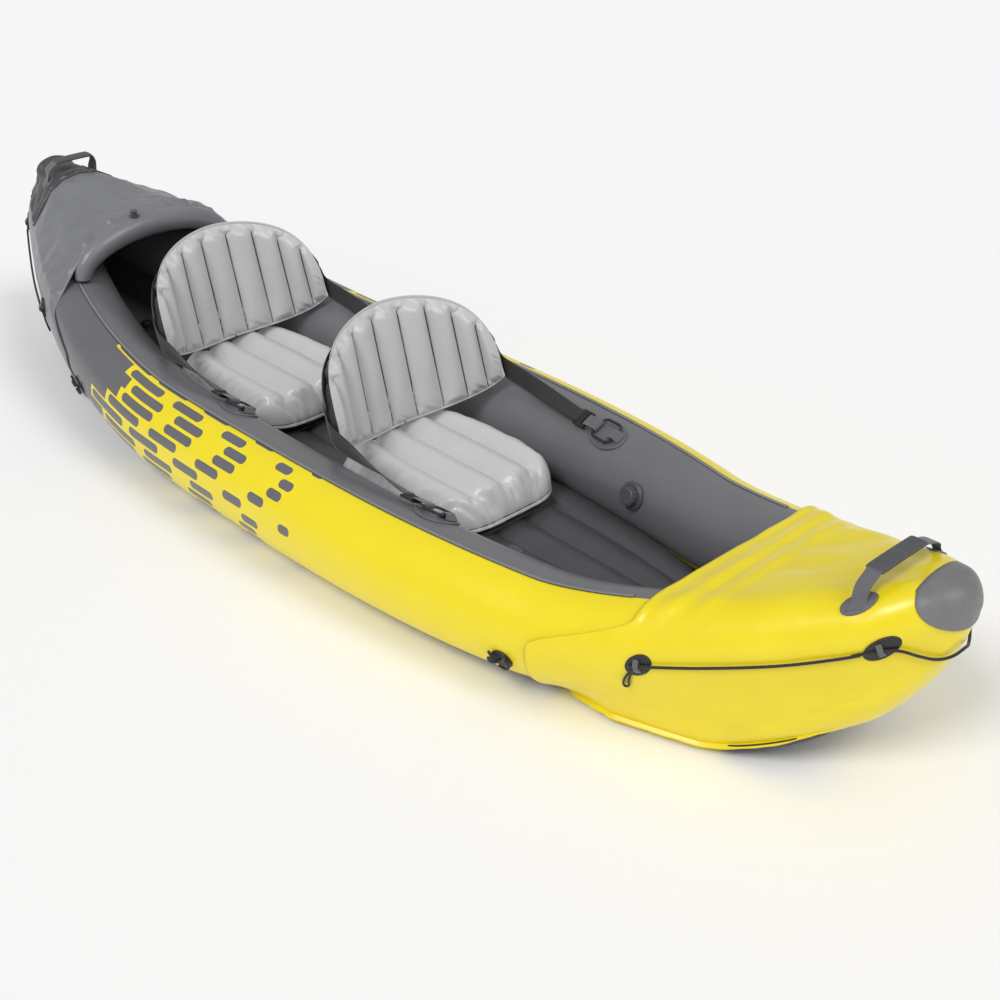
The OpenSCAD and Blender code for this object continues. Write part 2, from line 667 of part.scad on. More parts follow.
module rounded_ring(l, w, d) {
  r = 14;
  for (i = [0:3]) rotate([0, 0, 90 * i]) {
    x = (i % 2 == 0 ? l : w) / 2 - r;
    y = (i % 2 == 0 ? w : l) / 2 - r;
    translate([x, y, 0]) rotate_extrude(angle = 90) translate([r, 0]) circle(d = d, $fn = 16);
    translate([x + r, 0, 0]) rotate([90, 0, 0]) cylinder(d = d, h = 2 * y, center = true, $fn = 16);
  }
}
module strap_buckles() {
  color(black) both_sides() for (x0 = seat_xs)
    stand(tube_point(buckle_x(x0), ring_angle), buckle_off) difference() {
      cube([buckle_l, strap_w + 10, buckle_t], center = true);
      for (s = [-1, 1]) translate([s * buckle_l / 4, 0, 0])
        cube([buckle_l / 4, strap_w + 1, buckle_t + 1], center = true);
    }
}

// Webbing tabs from the rings to the front bars of the buckles
module strap_tabs() {
  r = ring_wire / 2 + clear;
  color(gray) both_sides() for (x0 = seat_xs)
    stand(tube_point(buckle_x(x0), ring_angle), buckle_off)
      rotate([90, 0, 0]) linear_extrude(tab_w, center = true) difference() {
        bar = buckle_l / 2 - buckle_l / 16;
        wire = ring_x(x0) - buckle_x(x0) - ring_l / 2;
        hull() for (x = [bar, wire]) translate([x, 0]) circle(r + 1 + strap_t, $fn = 12);
        hull() for (x = [bar, wire]) translate([x, 0]) circle(r + 1, $fn = 12);
      }
}

// Seat straps, from behind a wing round its edge to the buckle
module seat_strap(x0) {
  off = 2 * clear + fabric_t + strap_t / 2 + 0.2;
  buckle = base_of(tube_point(buckle_x(x0), ring_angle), buckle_off);
  bar = -buckle_l / 2 + buckle_l / 8;
  root = [for (i = [back_rows - 2:back_rows]) back_point(x0, back_u(i), 270, off)];
  far = place(buckle, [bar - 20, 0, buckle_t / 2 + 4]);
  free = [for (i = [1:4]) lerp(root[2], far, i / 4)];
  ends = [for (p = [[bar - 1, 0, buckle_t / 2 + 3], [bar + 4, 0, 0], [bar + 4, 0, -2]]) place(buckle, p)];
  up = [-tan(back_rake), 0, 1];
  across = concat([for (p = root) up], [for (i = [1:4]) lerp(up, buckle[1] * sign(buckle[1][2]), i / 4)],
    [for (p = ends) buckle[1] * sign(buckle[1][2])]);
  color(black) ribbon(concat(root, free, ends), across, strap_w, strap_t, strap_root_w);
}

// Side valves with screw caps, a floor valve and the stem valve of the coaming
valve_off = 1.5;
valve_h = 5;
module valve_body(d, throat) {
  color(black) difference() {
    union() {
      cylinder(d = d, h = 1.5);
      translate([0, 0, 1.5]) cylinder(d1 = d, d2 = d - 12, h = valve_h - 1.5);
      cylinder(d = throat, h = valve_h + cap_h * 0.6);
    }
    translate([0, 0, 1]) cylinder(d = throat - 8, h = valve_h + cap_h);
  }
}
module valve_cap(d, throat) {
  grips = 12;
  color(black) translate([0, 0, valve_h + clear]) difference() {
    union() {
      cylinder(d = d, h = cap_h);
      translate([0, 0, cap_h]) cylinder(d1 = d * 0.9, d2 = d * 0.8, h = 2);
    }
    translate([0, 0, -0.01]) cylinder(d = throat + 2 * clear, h = cap_h * 0.6 + clear);
    for (i = [0:grips - 1]) rotate([0, 0, 360 * i / grips])
      translate([d / 2 + 1, 0, -1]) cylinder(d = 5, h = cap_h + 4, $fn = 24);
  }
}
module at_valve() {
  stand(tube_point(valve_x, valve_angle), valve_off) children();
}
module valve_port() {
  at_valve() valve_body(valve_d, throat_d);
}
module valve_starboard() {
  mirror([0, 1, 0]) at_valve() valve_body(valve_d, throat_d);
}
module valve_cap_port() {
  at_valve() valve_cap(cap_d, throat_d);
}
module valve_cap_starboard() {
  mirror([0, 1, 0]) at_valve() valve_cap(cap_d, throat_d);
}
floor_valve_x = 100 - floor_aft_l;
floor_scale = 0.7;
module at_floor_valve() {
  stand(floor_point(floor_valve_x), clear) children();
}
module floor_valve() {
  at_floor_valve() valve_body(valve_d * floor_scale, throat_d * floor_scale);
}
module floor_valve_cap() {
  at_floor_valve() valve_cap(cap_d * floor_scale, throat_d * floor_scale);
}
stem_d = 16;
stem_h = 12;
stem_angle = 102;
module at_stem() {
  c = arch(coaming_x, stem_angle);
  out = arch_out(coaming_x, stem_angle);
  translate([coaming_x, c[0] + c[2] * out[0], c[1] + c[2] * out[1]])
    rotate([atan2(-out[0], out[1]), 0, 0]) translate([0, 0, clear]) children();
}
module coaming_valve() {
  color(dark_gray) at_stem() difference() {
    union() {
      cylinder(d = stem_d + 10, h = 1.5);
      cylinder(d = stem_d, h = stem_h);
    }
    translate([0, 0, 3]) cylinder(d = stem_d - 6, h = stem_h);
  }
}
module coaming_plug() {
  color(dark_gray) at_stem() translate([0, 0, stem_h + clear]) {
    cylinder(d = stem_d + 4, h = 3);
    translate([0, 0, -5]) cylinder(d = stem_d - 6 - 2 * clear, h = 6);
  }
}

// Slotted base for a removable skeg under the stern
module skeg_base() {
  h = 16;
  w = 34;
  color(black) stand(keel_point(skeg_from_end - half_l), cover_off + 0.2) difference() {
    translate([-skeg_base_l / 2, -w / 2, 0]) cube([skeg_base_l, w, h]);
    translate([-skeg_base_l / 2 - 1, -skeg_slot / 2, 3]) cube([skeg_base_l - 10, skeg_slot, h]);
    translate([-skeg_base_l / 4, 0, h / 2 + 1]) rotate([90, 0, 0]) cylinder(d = skeg_pin_d, h = w + 2, center = true);
  }
}

module front_seat_cushion() {
  cushion(seat_x);
}
module rear_seat_cushion() {
  cushion(rear_seat_x);
}
module front_seat_base() {
  seat_base(seat_x);
}
module rear_seat_base() {
  seat_base(rear_seat_x);
}
module front_seat_back() {
  back(seat_x);
}
module rear_seat_back() {
  back(rear_seat_x);
}
module front_back_shell() {
  back_shell(seat_x);
}
module rear_back_shell() {
  back_shell(rear_seat_x);
}
module front_strap_port() {
  seat_strap(seat_x);
}
module front_strap_starboard() {
  mirror([0, 1, 0]) seat_strap(seat_x);
}
module rear_strap_port() {
  seat_strap(rear_seat_x);
}
module rear_strap_starboard() {
  mirror([0, 1, 0]) seat_strap(rear_seat_x);
}

tube_port();
tube_starboard();
hull_bottom();
air_floor();
bow_cover();
stern_cover();
coaming_tube();
bow_bumper();
bow_wear_patch();
stern_flap();
handle_patches();
line_discs();
line_loops();
bow_grab_line();
stern_grab_line();
line_knots();
ring_patches();
strap_rings();
ring_keepers();
strap_tabs();
strap_buckles();
front_seat_cushion();
rear_seat_cushion();
front_seat_base();
rear_seat_base();
front_seat_back();
rear_seat_back();
front_back_shell();
rear_back_shell();
front_strap_port();
front_strap_starboard();
rear_strap_port();
rear_strap_starboard();
bow_handle_strap();
bow_handle_grip();
stern_handle_strap();
stern_handle_grip();
valve_port();
valve_starboard();
valve_cap_port();
valve_cap_starboard();
floor_valve();
floor_valve_cap();
coaming_valve();
coaming_plug();
skeg_base();
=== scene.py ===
# %% [markdown]
# # A two-seat inflatable kayak
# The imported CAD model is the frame: it says where every piece sits and how it moves. This lesson dresses it.
# Almost everything on the real boat is a sheet of vinyl that air or thread pulls into shape, so most pieces
# here start as one flat grid that is moved onto the form, and the folds and pinches are moved in with it.

# %% Load the frame
import bisect
import functools
from math import copysign, cos, dist, exp, floor, pi, radians, sin, sqrt, tan

import bmesh
import bpy
from mathutils import Matrix, Vector, noise


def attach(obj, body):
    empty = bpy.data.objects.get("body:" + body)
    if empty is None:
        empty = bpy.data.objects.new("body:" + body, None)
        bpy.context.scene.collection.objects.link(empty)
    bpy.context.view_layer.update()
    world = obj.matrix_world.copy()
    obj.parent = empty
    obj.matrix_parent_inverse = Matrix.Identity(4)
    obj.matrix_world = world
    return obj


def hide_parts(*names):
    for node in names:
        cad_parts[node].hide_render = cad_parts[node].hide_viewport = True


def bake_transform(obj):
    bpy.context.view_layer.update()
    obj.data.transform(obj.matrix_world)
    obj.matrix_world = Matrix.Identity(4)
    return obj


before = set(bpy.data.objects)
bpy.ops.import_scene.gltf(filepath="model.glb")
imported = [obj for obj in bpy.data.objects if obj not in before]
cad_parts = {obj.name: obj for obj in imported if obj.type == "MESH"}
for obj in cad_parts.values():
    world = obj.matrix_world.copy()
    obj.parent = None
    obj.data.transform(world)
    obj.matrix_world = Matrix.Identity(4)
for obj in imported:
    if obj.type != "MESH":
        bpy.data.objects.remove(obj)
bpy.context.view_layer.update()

# %% [markdown]
# ## The camera
# The place and the lens come from a camera fitted to the photograph, so that a point of the boat falls on the same
# pixel. The three axes of the camera are worked out from an azimuth and an elevation, and there is no lens shift.

# %% Camera
CAMERA_AT = Vector((2.5493, -2.0758, 1.9030))
AZIMUTH, ELEVATION = radians(46.1473), radians(30.4975)
FOCAL_PIXELS, PICTURE_PIXELS, SENSOR_MM = 1529.9, 1000, 36.0
right = Vector((cos(AZIMUTH), sin(AZIMUTH), 0))
back = Vector((sin(AZIMUTH) * cos(ELEVATION), -cos(AZIMUTH) * cos(ELEVATION), sin(ELEVATION)))
up = back.cross(right)
camera = bpy.data.objects.new("camera", bpy.data.cameras.new("camera"))
camera.data.sensor_width = SENSOR_MM
camera.data.lens = FOCAL_PIXELS / PICTURE_PIXELS * SENSOR_MM
camera.matrix_world = Matrix.Translation(CAMERA_AT) @ Matrix((right, up, back)).transposed().to_4x4()
bpy.context.scene.collection.objects.link(camera)
bpy.context.scene.camera = camera
print("lens", round(camera.data.lens, 2), "mm")

# %% [markdown]
# ## The form of the hull
# Two air tubes run side by side and come together at both ends, where they also rise. Their place, radius and height
# at a station x are written here in millimetres, with the same numbers as the CAD model, because a skin that lies
# over the tubes has to follow them closely.

# %% Tubes of the hull as functions of the station
MM = 0.001
HALF, NOSE_L, COVER_OFF, BUMPER_T, BUMPER_ON = 1560, 120, 5.5, 5, 6.7
MID_R, MID_Y, MID_Z = 120, 333, 138
KEEL_W, KEEL_EDGE = 225, 60
COAMING_X = 575 - HALF
# Each pair is for the bow and the stern
NOSE_X, NOSE_MID_Z = (HALF - BUMPER_T - BUMPER_ON - NOSE_L, HALF - COVER_OFF - NOSE_L), (408, 400)
TIP_POWER, NARROWING, TIP_R = (2.7, 2.9), (1.1, 1.25), (82, 76)
TUBE_RISE, TUBE_RISE_L, KEEL_RISE, KEEL_RISE_L = (266, 243), (760, 1120), (250, 260), (400, 450)


def pick(x, pair):
    return pair[0] if x >= 0 else pair[1]


def lerp(a, b, t):
    return a + (b - a) * t


def smooth(t):
    t = min(1.0, max(0.0, t))
    return t * t * (3 - 2 * t)


def bump_at(distance, width):
    return exp(-(distance / width) ** 2)


def near_tip(x):
    return min(1, abs(x) / (pick(x, NOSE_X) + NOSE_L)) ** pick(x, TIP_POWER)


def climb(x, length, top):
    return max(0, 1 - max(0, top - abs(x)) / length) ** 1.5


def tube_y(x):
    return MID_Y * (1 - near_tip(x)) ** pick(x, NARROWING)


def tube_r(x):
    return lerp(MID_R, pick(x, TIP_R), near_tip(x))


def tube_z(x):
    return MID_Z + pick(x, TUBE_RISE) * climb(x, pick(x, TUBE_RISE_L), pick(x, NOSE_X) + NOSE_L)


def keel_z(x):
    return COVER_OFF + pick(x, KEEL_RISE) * climb(x, pick(x, KEEL_RISE_L), HALF)


def keel_half(x):
    return min(KEEL_W, tube_y(x))


def shrink(x, length):
    return sqrt(max(0, 1 - (max(0, abs(x) - pick(x, NOSE_X)) / length) ** 2))


def on_tube(x, angle, off=0):
    a, r = radians(angle), tube_r(x) + off
    return x, tube_y(x) + r * cos(a), tube_z(x) + r * sin(a)


print("tube amidships", [round(c) for c in on_tube(0, 0)], "and near the bow", [round(c) for c in on_tube(1300, 0)])

# %% [markdown]
# ## The skin over the tubes
# A cover is stretched over both tubes and the keel, so its section is the outline of a tight band round circles.
# The band is walked from the keel to the deck in small steps of direction, and then spaced out evenly, because even
# columns are what folds need. Each point keeps its direction, so that an offset can be added later.

# %% Outline of the stretched skin
ARCH_ANGLES = (30, 60, 90)
COAMING_TOP, COAMING_D, COAMING_FOOT_D, STERN_DECK_RISE, FOOT_LIFT = 468, 66, 46, 16, 4.6
DIRECTIONS = [(d, cos(radians(d)), sin(radians(d))) for d in range(-90, 91)]
SHOULDER, SIDE_SHARE = 30, 0.6


def arch_foot(x):
    return tube_z(x) + tube_r(x) + FOOT_LIFT


def arch_top(x):
    return COAMING_TOP - COAMING_D / 2 + STERN_DECK_RISE * min(1, (abs(x) + COAMING_X) / (NOSE_X[1] + COAMING_X))


def arch(x, angle):
    b = radians(angle)
    r = (COAMING_FOOT_D + (COAMING_D - COAMING_FOOT_D) * sin(b)) / 2
    return tube_y(x) * cos(b), arch_foot(x) + (arch_top(x) - arch_foot(x)) * sin(b), r


def circles_at(x, off):
    k, mid = shrink(x, NOSE_L + off), pick(x, NOSE_MID_Z)
    circles = [(tube_y(x), tube_z(x), tube_r(x)), (keel_half(x), keel_z(x) + KEEL_EDGE, KEEL_EDGE)]
    if x < COAMING_X:
        circles += [arch(x, b) for b in ARCH_ANGLES]
    return [(k * y, mid + k * (z - mid), k * r) for y, z, r in circles]


def walk_skin(x, off):
    # Points (y, z, direction, distance walked) from the keel to the deck, on the port half
    circles, walk = circles_at(x, off), []
    for degrees, c, s in DIRECTIONS:
        y, z, r = max(circles, key=lambda q: q[0] * c + q[1] * s + q[2])
        walk.append((y + (r + off) * c, z + (r + off) * s, degrees))
    walk = [(0, walk[0][1], -90)] + walk + [(0, walk[-1][1], 90)]
    far, out = 0.0, [walk[0] + (0.0,)]
    for p, q in zip(walk, walk[1:]):
        far += dist(p[:2], q[:2])
        out.append(q + (far,))
    return out


def on_walk(walk, far):
    i = min(len(walk) - 2, max(0, bisect.bisect_left(walk, far, key=lambda p: p[3]) - 1))
    t = (far - walk[i][3]) / max(1e-9, walk[i + 1][3] - walk[i][3])
    return tuple(lerp(p, q, min(1.0, max(0.0, t))) for p, q in zip(walk[i][:3], walk[i + 1][:3]))


def far_at(walk, degrees):
    return next(p[3] for p in walk if p[2] >= degrees and p[0] > 0)


@functools.lru_cache(maxsize=None)
def columns_at(x, off, count):
    # The first six tenths climb the side to the shoulder of the tube, the rest cross the deck to the middle
    walk = walk_skin(x, off)
    shoulder, places = far_at(walk, SHOULDER), []
    for j in range(count + 1):
        share = j / count
        if share < SIDE_SHARE:
            far = shoulder * share / SIDE_SHARE
        else:
            far = lerp(shoulder, walk[-1][3], (share - SIDE_SHARE) / (1 - SIDE_SHARE))
        places.append(on_walk(walk, far))
    return places


def column_of_skin(x, off, j, count):
    near = floor(x)
    pair = zip(columns_at(near, off, count)[j], columns_at(near + 1, off, count)[j])
    return [lerp(p, q, x - near) for p, q in pair]


print("deck height at the bow", round(walk_skin(1300, COVER_OFF)[-1][1]), "mm")

# %% [markdown]
# ## Making a piece from a grid
# One helper makes most pieces. It asks Blender for a flat grid with UVs and moves each vertex to the place that a
# function gives for u and v. Edges and poles that land on each other are merged, which closes tubes and pads. A second
# helper turns the faces outward, gives a sheet its wall, and tells the frame which body the piece rides on and which
# CAD node it stands in for.

# %% Helpers that make pieces
MERGE_M = 2e-5


def keep(name, bm, materials, body=None):
    mesh = bpy.data.meshes.new(name)
    bm.to_mesh(mesh)
    bm.free()
    piece = bpy.data.objects.new(name, mesh)
    bpy.context.scene.collection.objects.link(piece)
    for material in materials:
        mesh.materials.append(material)
    for face in mesh.polygons:
        face.use_smooth = True
    if body:
        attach(piece, body)
    return piece


def made(name, bm, materials, slot, node=None, body="hull", wall=0, wall_offset=-1, outward=True):
    if outward:
        bmesh.ops.recalc_face_normals(bm, faces=bm.faces)
    piece = keep(name, bm, materials, body)
    if wall:
        skin = piece.modifiers.new("wall", "SOLIDIFY")
        skin.thickness, skin.offset, skin.use_even_offset = wall * MM, wall_offset, False
    if node:
        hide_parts(node)
    return piece


def grid_onto(bm, across, along, place, uv_size=(1, 1), merge=True):
    uv = bm.loops.layers.uv.verify()
    verts = bmesh.ops.create_grid(bm, x_segments=across, y_segments=along, size=0.5, calc_uvs=True)["verts"]
    faces = {f for v in verts for f in v.link_faces}
    for face in faces:
        for loop in face.loops:
            loop[uv].uv = ((loop.vert.co.x + 0.5) * uv_size[0], (loop.vert.co.y + 0.5) * uv_size[1])
    for v in verts:
        v.co = Vector(place(v.co.x + 0.5, v.co.y + 0.5)) * MM
    if merge:
        bmesh.ops.remove_doubles(bm, verts=verts, dist=MERGE_M)
    return faces


def close_ends(bm):
    bmesh.ops.holes_fill(bm, edges=[e for e in bm.edges if e.is_boundary], sides=0)


def mirrored(bm):
    copy = bmesh.ops.duplicate(bm, geom=bm.verts[:] + bm.edges[:] + bm.faces[:])["geom"]
    bmesh.ops.scale(bm, vec=(1, -1, 1), verts=[g for g in copy if isinstance(g, bmesh.types.BMVert)])
    bmesh.ops.reverse_faces(bm, faces=[g for g in copy if isinstance(g, bmesh.types.BMFace)])


def gridded(across, along, place, closed=False, both_sides=False):
    bm = bmesh.new()
    grid_onto(bm, across, along, place, merge=not both_sides)
    if closed:
        close_ends(bm)
    if both_sides:
        mirrored(bm)
    return bm


print("helpers for pieces ready")

# %% [markdown]
# ## Paths, cords and bands
# A cord is a grid wrapped round a path, and webbing is a thin rounded section that runs along one. Their UV maps are in
# metres, so that a weave has the same size on each. A cut sheet is measured along its longest rows.

# %% Helpers for cords and sheets
def path_length(points):
    return sum(dist(p, q) for p, q in zip(points, points[1:]))


def spread_of(place):
    # Longest rows of a sheet, across and along
    steps = [i / 40 for i in range(41)]
    return (max(path_length([place(u, v) for v in steps]) for u in steps[4::8]),
            max(path_length([place(u, v) for u in steps]) for v in steps[4::8]))


def tangent(points, i):
    return (Vector(points[min(i + 1, len(points) - 1)]) - Vector(points[max(i - 1, 0)])).normalized()


def round_cord(bm, points, radius, sides=10, hint=(0.31, 0.22, 0.93)):
    frames = []
    for i, p in enumerate(points):
        t = tangent(points, i)
        side = t.cross(Vector(hint)).normalized()
        frames.append((Vector(p), side, side.cross(t).normalized()))
    last = len(points) - 1

    def place(u, v):
        p, side, lift = frames[round(u * last)]
        a = 2 * pi * v
        return p + side * radius * cos(a) + lift * radius * sin(a)

    grid_onto(bm, last, sides, place, (path_length(points) * MM, 2 * pi * radius * MM))
    close_ends(bm)


def flat_band(bm, points, across, widths, thickness, columns):
    # Closed webbing: the section is a thin rounded rectangle that runs round its own edge
    last, rounds, frames = len(points) - 1, 2 * columns + 2, []
    for i, p in enumerate(points):
        s = Vector(across[i]).normalized()
        frames.append((Vector(p), s, tangent(points, i).cross(s).normalized()))

    def place(u, v):
        i, j = round(u * last), round(v * rounds) % rounds
        p, s, lift = frames[i]
        top = j <= columns
        k = j if top else rounds - 1 - j
        narrow, thin = (1.0, 1) if 0 < k < columns else (0.99, 0.6)
        w, h = widths[i] * (k / columns - 0.5) * narrow, thickness / 2 * thin
        return p + s * w + lift * (h if top else -h)

    faces = grid_onto(bm, last, rounds, place, (path_length(points) * MM, 2 * max(widths) * MM))
    close_ends(bm)
    return faces


def curve_through(points, steps):
    # Smooth path through a few points
    pts, out = [Vector(p) for p in points], []
    for i in range(len(pts) - 1):
        a, b = pts[max(0, i - 1)], pts[i]
        c, d = pts[i + 1], pts[min(len(pts) - 1, i + 2)]
        for t in (k / steps for k in range(steps)):
            out.append(0.5 * ((2 * b) + (c - a) * t + (2 * a - 5 * b + 4 * c - d) * t * t
                              + (3 * b - a - 3 * c + d) * t ** 3))
    return out + [pts[-1]]


print("helpers for cords and sheets ready")

# %% [markdown]
# ## Finishes
# Each finish starts from what the real material is. The boat is calendered vinyl, which is satin with a soft sheen.
# Straps are woven webbing, lines are braided cord, and fittings are moulded plastic or rubber. Colours are written as
# sRGB hex and turned to linear by one function. One function adds a node with its settings and its links.

# %% Colour and node helpers
MIX_A, MIX_B, MIX_OUT = 6, 7, 2
PER_METRE = 1000


def linear(code):
    parts = [int(code[i:i + 2], 16) / 255 for i in (1, 3, 5)]
    return [c / 12.92 if c <= 0.04045 else ((c + 0.055) / 1.055) ** 2.4 for c in parts] + [1.0]


def add(tree, kind, sockets=None, **settings):
    # A value that is itself an output gets a link, any other is written on the socket
    node = tree.nodes.new("ShaderNode" + kind)
    for key, value in settings.items():
        setattr(node, key, value)
    for key, value in (sockets or {}).items():
        if isinstance(value, bpy.types.NodeSocket):
            tree.links.new(value, node.inputs[key])
        else:
            node.inputs[key].default_value = value
    return node


def start(name, **sockets):
    material = bpy.data.materials.new(name)
    material.use_nodes = True
    shader = material.node_tree.nodes["Principled BSDF"]
    for key, value in sockets.items():
        shader.inputs[key.replace("_", " ")].default_value = value
    return material, material.node_tree, shader


def calc(tree, operation, *values):
    return add(tree, "Math", dict(enumerate(values)), operation=operation).outputs[0]


def speckle(tree, coords, size_mm, detail, roughness=0.5):
    sockets = {"Vector": coords, "Scale": PER_METRE / size_mm, "Detail": detail, "Roughness": roughness}
    return add(tree, "TexNoise", sockets).outputs[0]


def mixed(tree, share, low, high):
    # The colours are hex codes or outputs
    low, high = (linear(c) if isinstance(c, str) else c for c in (low, high))
    return add(tree, "Mix", {0: share, MIX_A: low, MIX_B: high}, data_type="RGBA").outputs[MIX_OUT]


def dress(tree, shader, colour, height, strength, depth_m):
    relief = add(tree, "Bump", {"Height": height, "Strength": strength, "Distance": depth_m})
    tree.links.new(colour, shader.inputs["Base Color"])
    tree.links.new(relief.outputs[0], shader.inputs["Normal"])


print("yellow in linear light", [round(c, 3) for c in linear("#f3e02b")])

# %% [markdown]
# ## Calendered vinyl
# Vinyl sheet is rolled between hot cylinders, which leaves a very fine grain and a satin gloss. Air inside pulls it
# tight, so broad, soft shading comes from the form and small creases come from the seams. The grain of 0.6 mm is
# too fine to show, so it is drawn at 3 mm and kept faint. A slow change of tone stops it looking like paint.

# %% Vinyl finishes
GRAIN_MM, GRAIN_M, VINYL_IOR, COAT_ROUGHNESS = 3, 0.0006, 1.53, 0.22


def vinyl(name, light, shade, roughness=0.38, coat=0.12):
    material, tree, shader = start(name, Roughness=roughness, IOR=VINYL_IOR, Coat_Weight=coat,
                                   Coat_Roughness=COAT_ROUGHNESS)
    coords = add(tree, "TexCoord").outputs["Object"]
    colour = mixed(tree, speckle(tree, coords, 90, 3.0, 0.55), light, shade)
    dress(tree, shader, colour, speckle(tree, coords, GRAIN_MM, 2.0), 0.12, GRAIN_M)
    return material


# Rolled and lightly lacquered: the brightest sheet, with a clear sheen on its folds
vinyl_yellow = vinyl("calendered_vinyl_yellow", "#f8e312", "#ebd40d", coat=0.2, roughness=0.34)
# The same sheet in grays, which shows broad, soft highlights
vinyl_gray = vinyl("calendered_vinyl_gray", "#85868a", "#77787c")
vinyl_stern = vinyl("calendered_vinyl_stern_gray", "#808185", "#6d6e72", roughness=0.36)
# This dark gray is the air floor's own colour, and it also paints shade: the shadow lines at the tube welds and the
# stern flap
vinyl_dark_and_painted_shade = vinyl("dark_gray_vinyl_and_painted_shade", "#4a4a4d", "#404043", roughness=0.42)
# Pigmented with aluminium: pale, and a little glossier than the grays
vinyl_silver = vinyl("calendered_vinyl_silver", "#cdcdce", "#bfbfc1", roughness=0.36, coat=0.15)
# Thick and matt, pressed on with a hot die
vinyl_black = vinyl("thick_vinyl_black", "#262628", "#1d1d1f", roughness=0.5, coat=0.05)
vinyl_patch = vinyl("welded_patch_gray", "#67686c", "#5b5c60", roughness=0.45)
print("vinyl finishes made")

# %% [markdown]
# ## Two-tone side tube
# The outside of a tube is one sheet and the inside another, welded together along the top. The UV map's second axis
# runs round the tube, so it says which sheet a point is on. The outer sheet is printed: gray at the stern, which
# breaks up into rows of round-ended dashes that get shorter towards the yellow. A dash is every point that lies near
# enough to a short line, so its ends come out round.

# %% Side tube finish
SEAM_ANGLE, INNER_SEAM_ANGLE = 80, 208
FADE_FROM_M, FADE_TO_M, FADE_END = -0.62, 0.22, 0.97
DASH_ROWS, DASH_PITCH_M, DASH_R_M, ROUND_TUBE_M = 24, 0.19, 0.0115, 0.754
LONG_DASH_M, SHORT_DASH_M = 0.078, 0.004


def tube_finish():
    material, tree, shader = start("printed_two_tone_vinyl_tube", Roughness=0.35, IOR=VINYL_IOR, Coat_Weight=0.15,
                                   Coat_Roughness=COAT_ROUGHNESS)
    do = functools.partial(calc, tree)
    where = add(tree, "TexCoord")
    coords = where.outputs["Object"]
    along = add(tree, "SeparateXYZ", {0: coords}).outputs["X"]
    turn = add(tree, "SeparateXYZ", {0: where.outputs["UV"]}).outputs["Y"]
    above, below = do("GREATER_THAN", turn, SEAM_ANGLE / 360), do("LESS_THAN", turn, INNER_SEAM_ANGLE / 360)
    inside = do("MULTIPLY", above, below)

    rows = do("MULTIPLY", turn, DASH_ROWS)
    row = do("FLOOR", rows)
    across = do("SUBTRACT", do("SUBTRACT", rows, row), 0.5)
    across = do("MULTIPLY", across, ROUND_TUBE_M / DASH_ROWS)
    shift = add(tree, "TexWhiteNoise", {"W": row}, noise_dimensions="1D").outputs["Value"]
    cells = do("MULTIPLY_ADD", along, 1 / DASH_PITCH_M, shift)
    cell = do("FLOOR", cells)
    beside = do("ABSOLUTE", do("SUBTRACT", do("SUBTRACT", cells, cell), 0.5))
    beside = do("MULTIPLY", beside, DASH_PITCH_M)
    middle = do("MULTIPLY_ADD", do("SUBTRACT", cell, shift), DASH_PITCH_M, 0.5 * DASH_PITCH_M)
    faded = add(tree, "MapRange", {"Value": middle, "From Min": FADE_FROM_M, "From Max": FADE_TO_M}).outputs[0]
    half_dash = add(tree, "MapRange", {"Value": faded, "To Min": LONG_DASH_M, "To Max": SHORT_DASH_M}).outputs[0]
    past = do("MAXIMUM", do("SUBTRACT", beside, half_dash), 0.0)
    spot = add(tree, "CombineXYZ", {0: past, 1: across}).outputs[0]
    far = add(tree, "VectorMath", {0: spot}, operation="LENGTH").outputs["Value"]
    dashes = do("MULTIPLY", do("LESS_THAN", far, DASH_R_M), do("LESS_THAN", faded, FADE_END))
    printed = do("MAXIMUM", dashes, do("LESS_THAN", middle, FADE_FROM_M))

    tone = speckle(tree, coords, 110, 3.0)
    outer = mixed(tree, printed, mixed(tree, tone, "#f8e312", "#eed90f"), mixed(tree, tone, "#69686c", "#5f5e62"))
    # The inner sheet is gray vinyl. Its gray is set darker than the bottom skin's gray, as painted shade for the inner
    # wall
    colour = mixed(tree, inside, outer, mixed(tree, tone, "#737377", "#68686c"))
    dress(tree, shader, colour, speckle(tree, coords, GRAIN_MM, 2.0), 0.1, GRAIN_M)
    return material


vinyl_tube = tube_finish()
print("two-tone tube finish made")

# %% [markdown]
# ## Woven and moulded finishes
# Webbing and fabric are plain weaves: two sets of threads, drawn as two crossed waves on the UV map, which is in
# metres on straps and cords. Braided cord shows slanted strands. In both, the grooves between threads are painted
# darker as shade. Moulded plastic has a fine spark-eroded texture and rubber is duller.

# %% Weaves, plastic and rubber
def wave(tree, coords, thread_mm, way="X"):
    scale = PER_METRE / thread_mm / 2 / pi
    return add(tree, "TexWave", {"Vector": coords, "Scale": scale}, bands_direction=way).outputs[1]


def woven(name, light, shade, thread_mm, roughness=0.75, coordinates="UV", depth=0.4):
    material, tree, shader = start(name, Roughness=roughness, IOR=1.5, Sheen_Weight=0.25, Sheen_Roughness=0.5)
    coords = add(tree, "TexCoord").outputs[coordinates]
    threads = calc(tree, "MULTIPLY", wave(tree, coords, thread_mm), wave(tree, coords, thread_mm, "Y"))
    # Painted shade: the colour is darker where the threads are low, in the grooves between them
    dress(tree, shader, mixed(tree, threads, shade, light), threads, depth, 0.0008)
    return material


def braided(name, light, shade, strand_mm):
    material, tree, shader = start(name, Roughness=0.7, IOR=1.5, Sheen_Weight=0.2)
    coords = add(tree, "TexCoord").outputs["UV"]
    turned = [add(tree, "Mapping", {"Vector": coords, "Rotation": (0, 0, radians(slant))}) for slant in (40, -40)]
    strands = calc(tree, "MAXIMUM", *(wave(tree, slanted.outputs[0], strand_mm) for slanted in turned))
    # Painted shade: the colour is darker in the grooves between the strands
    dress(tree, shader, mixed(tree, strands, shade, light), strands, 0.6, 0.001)
    return material


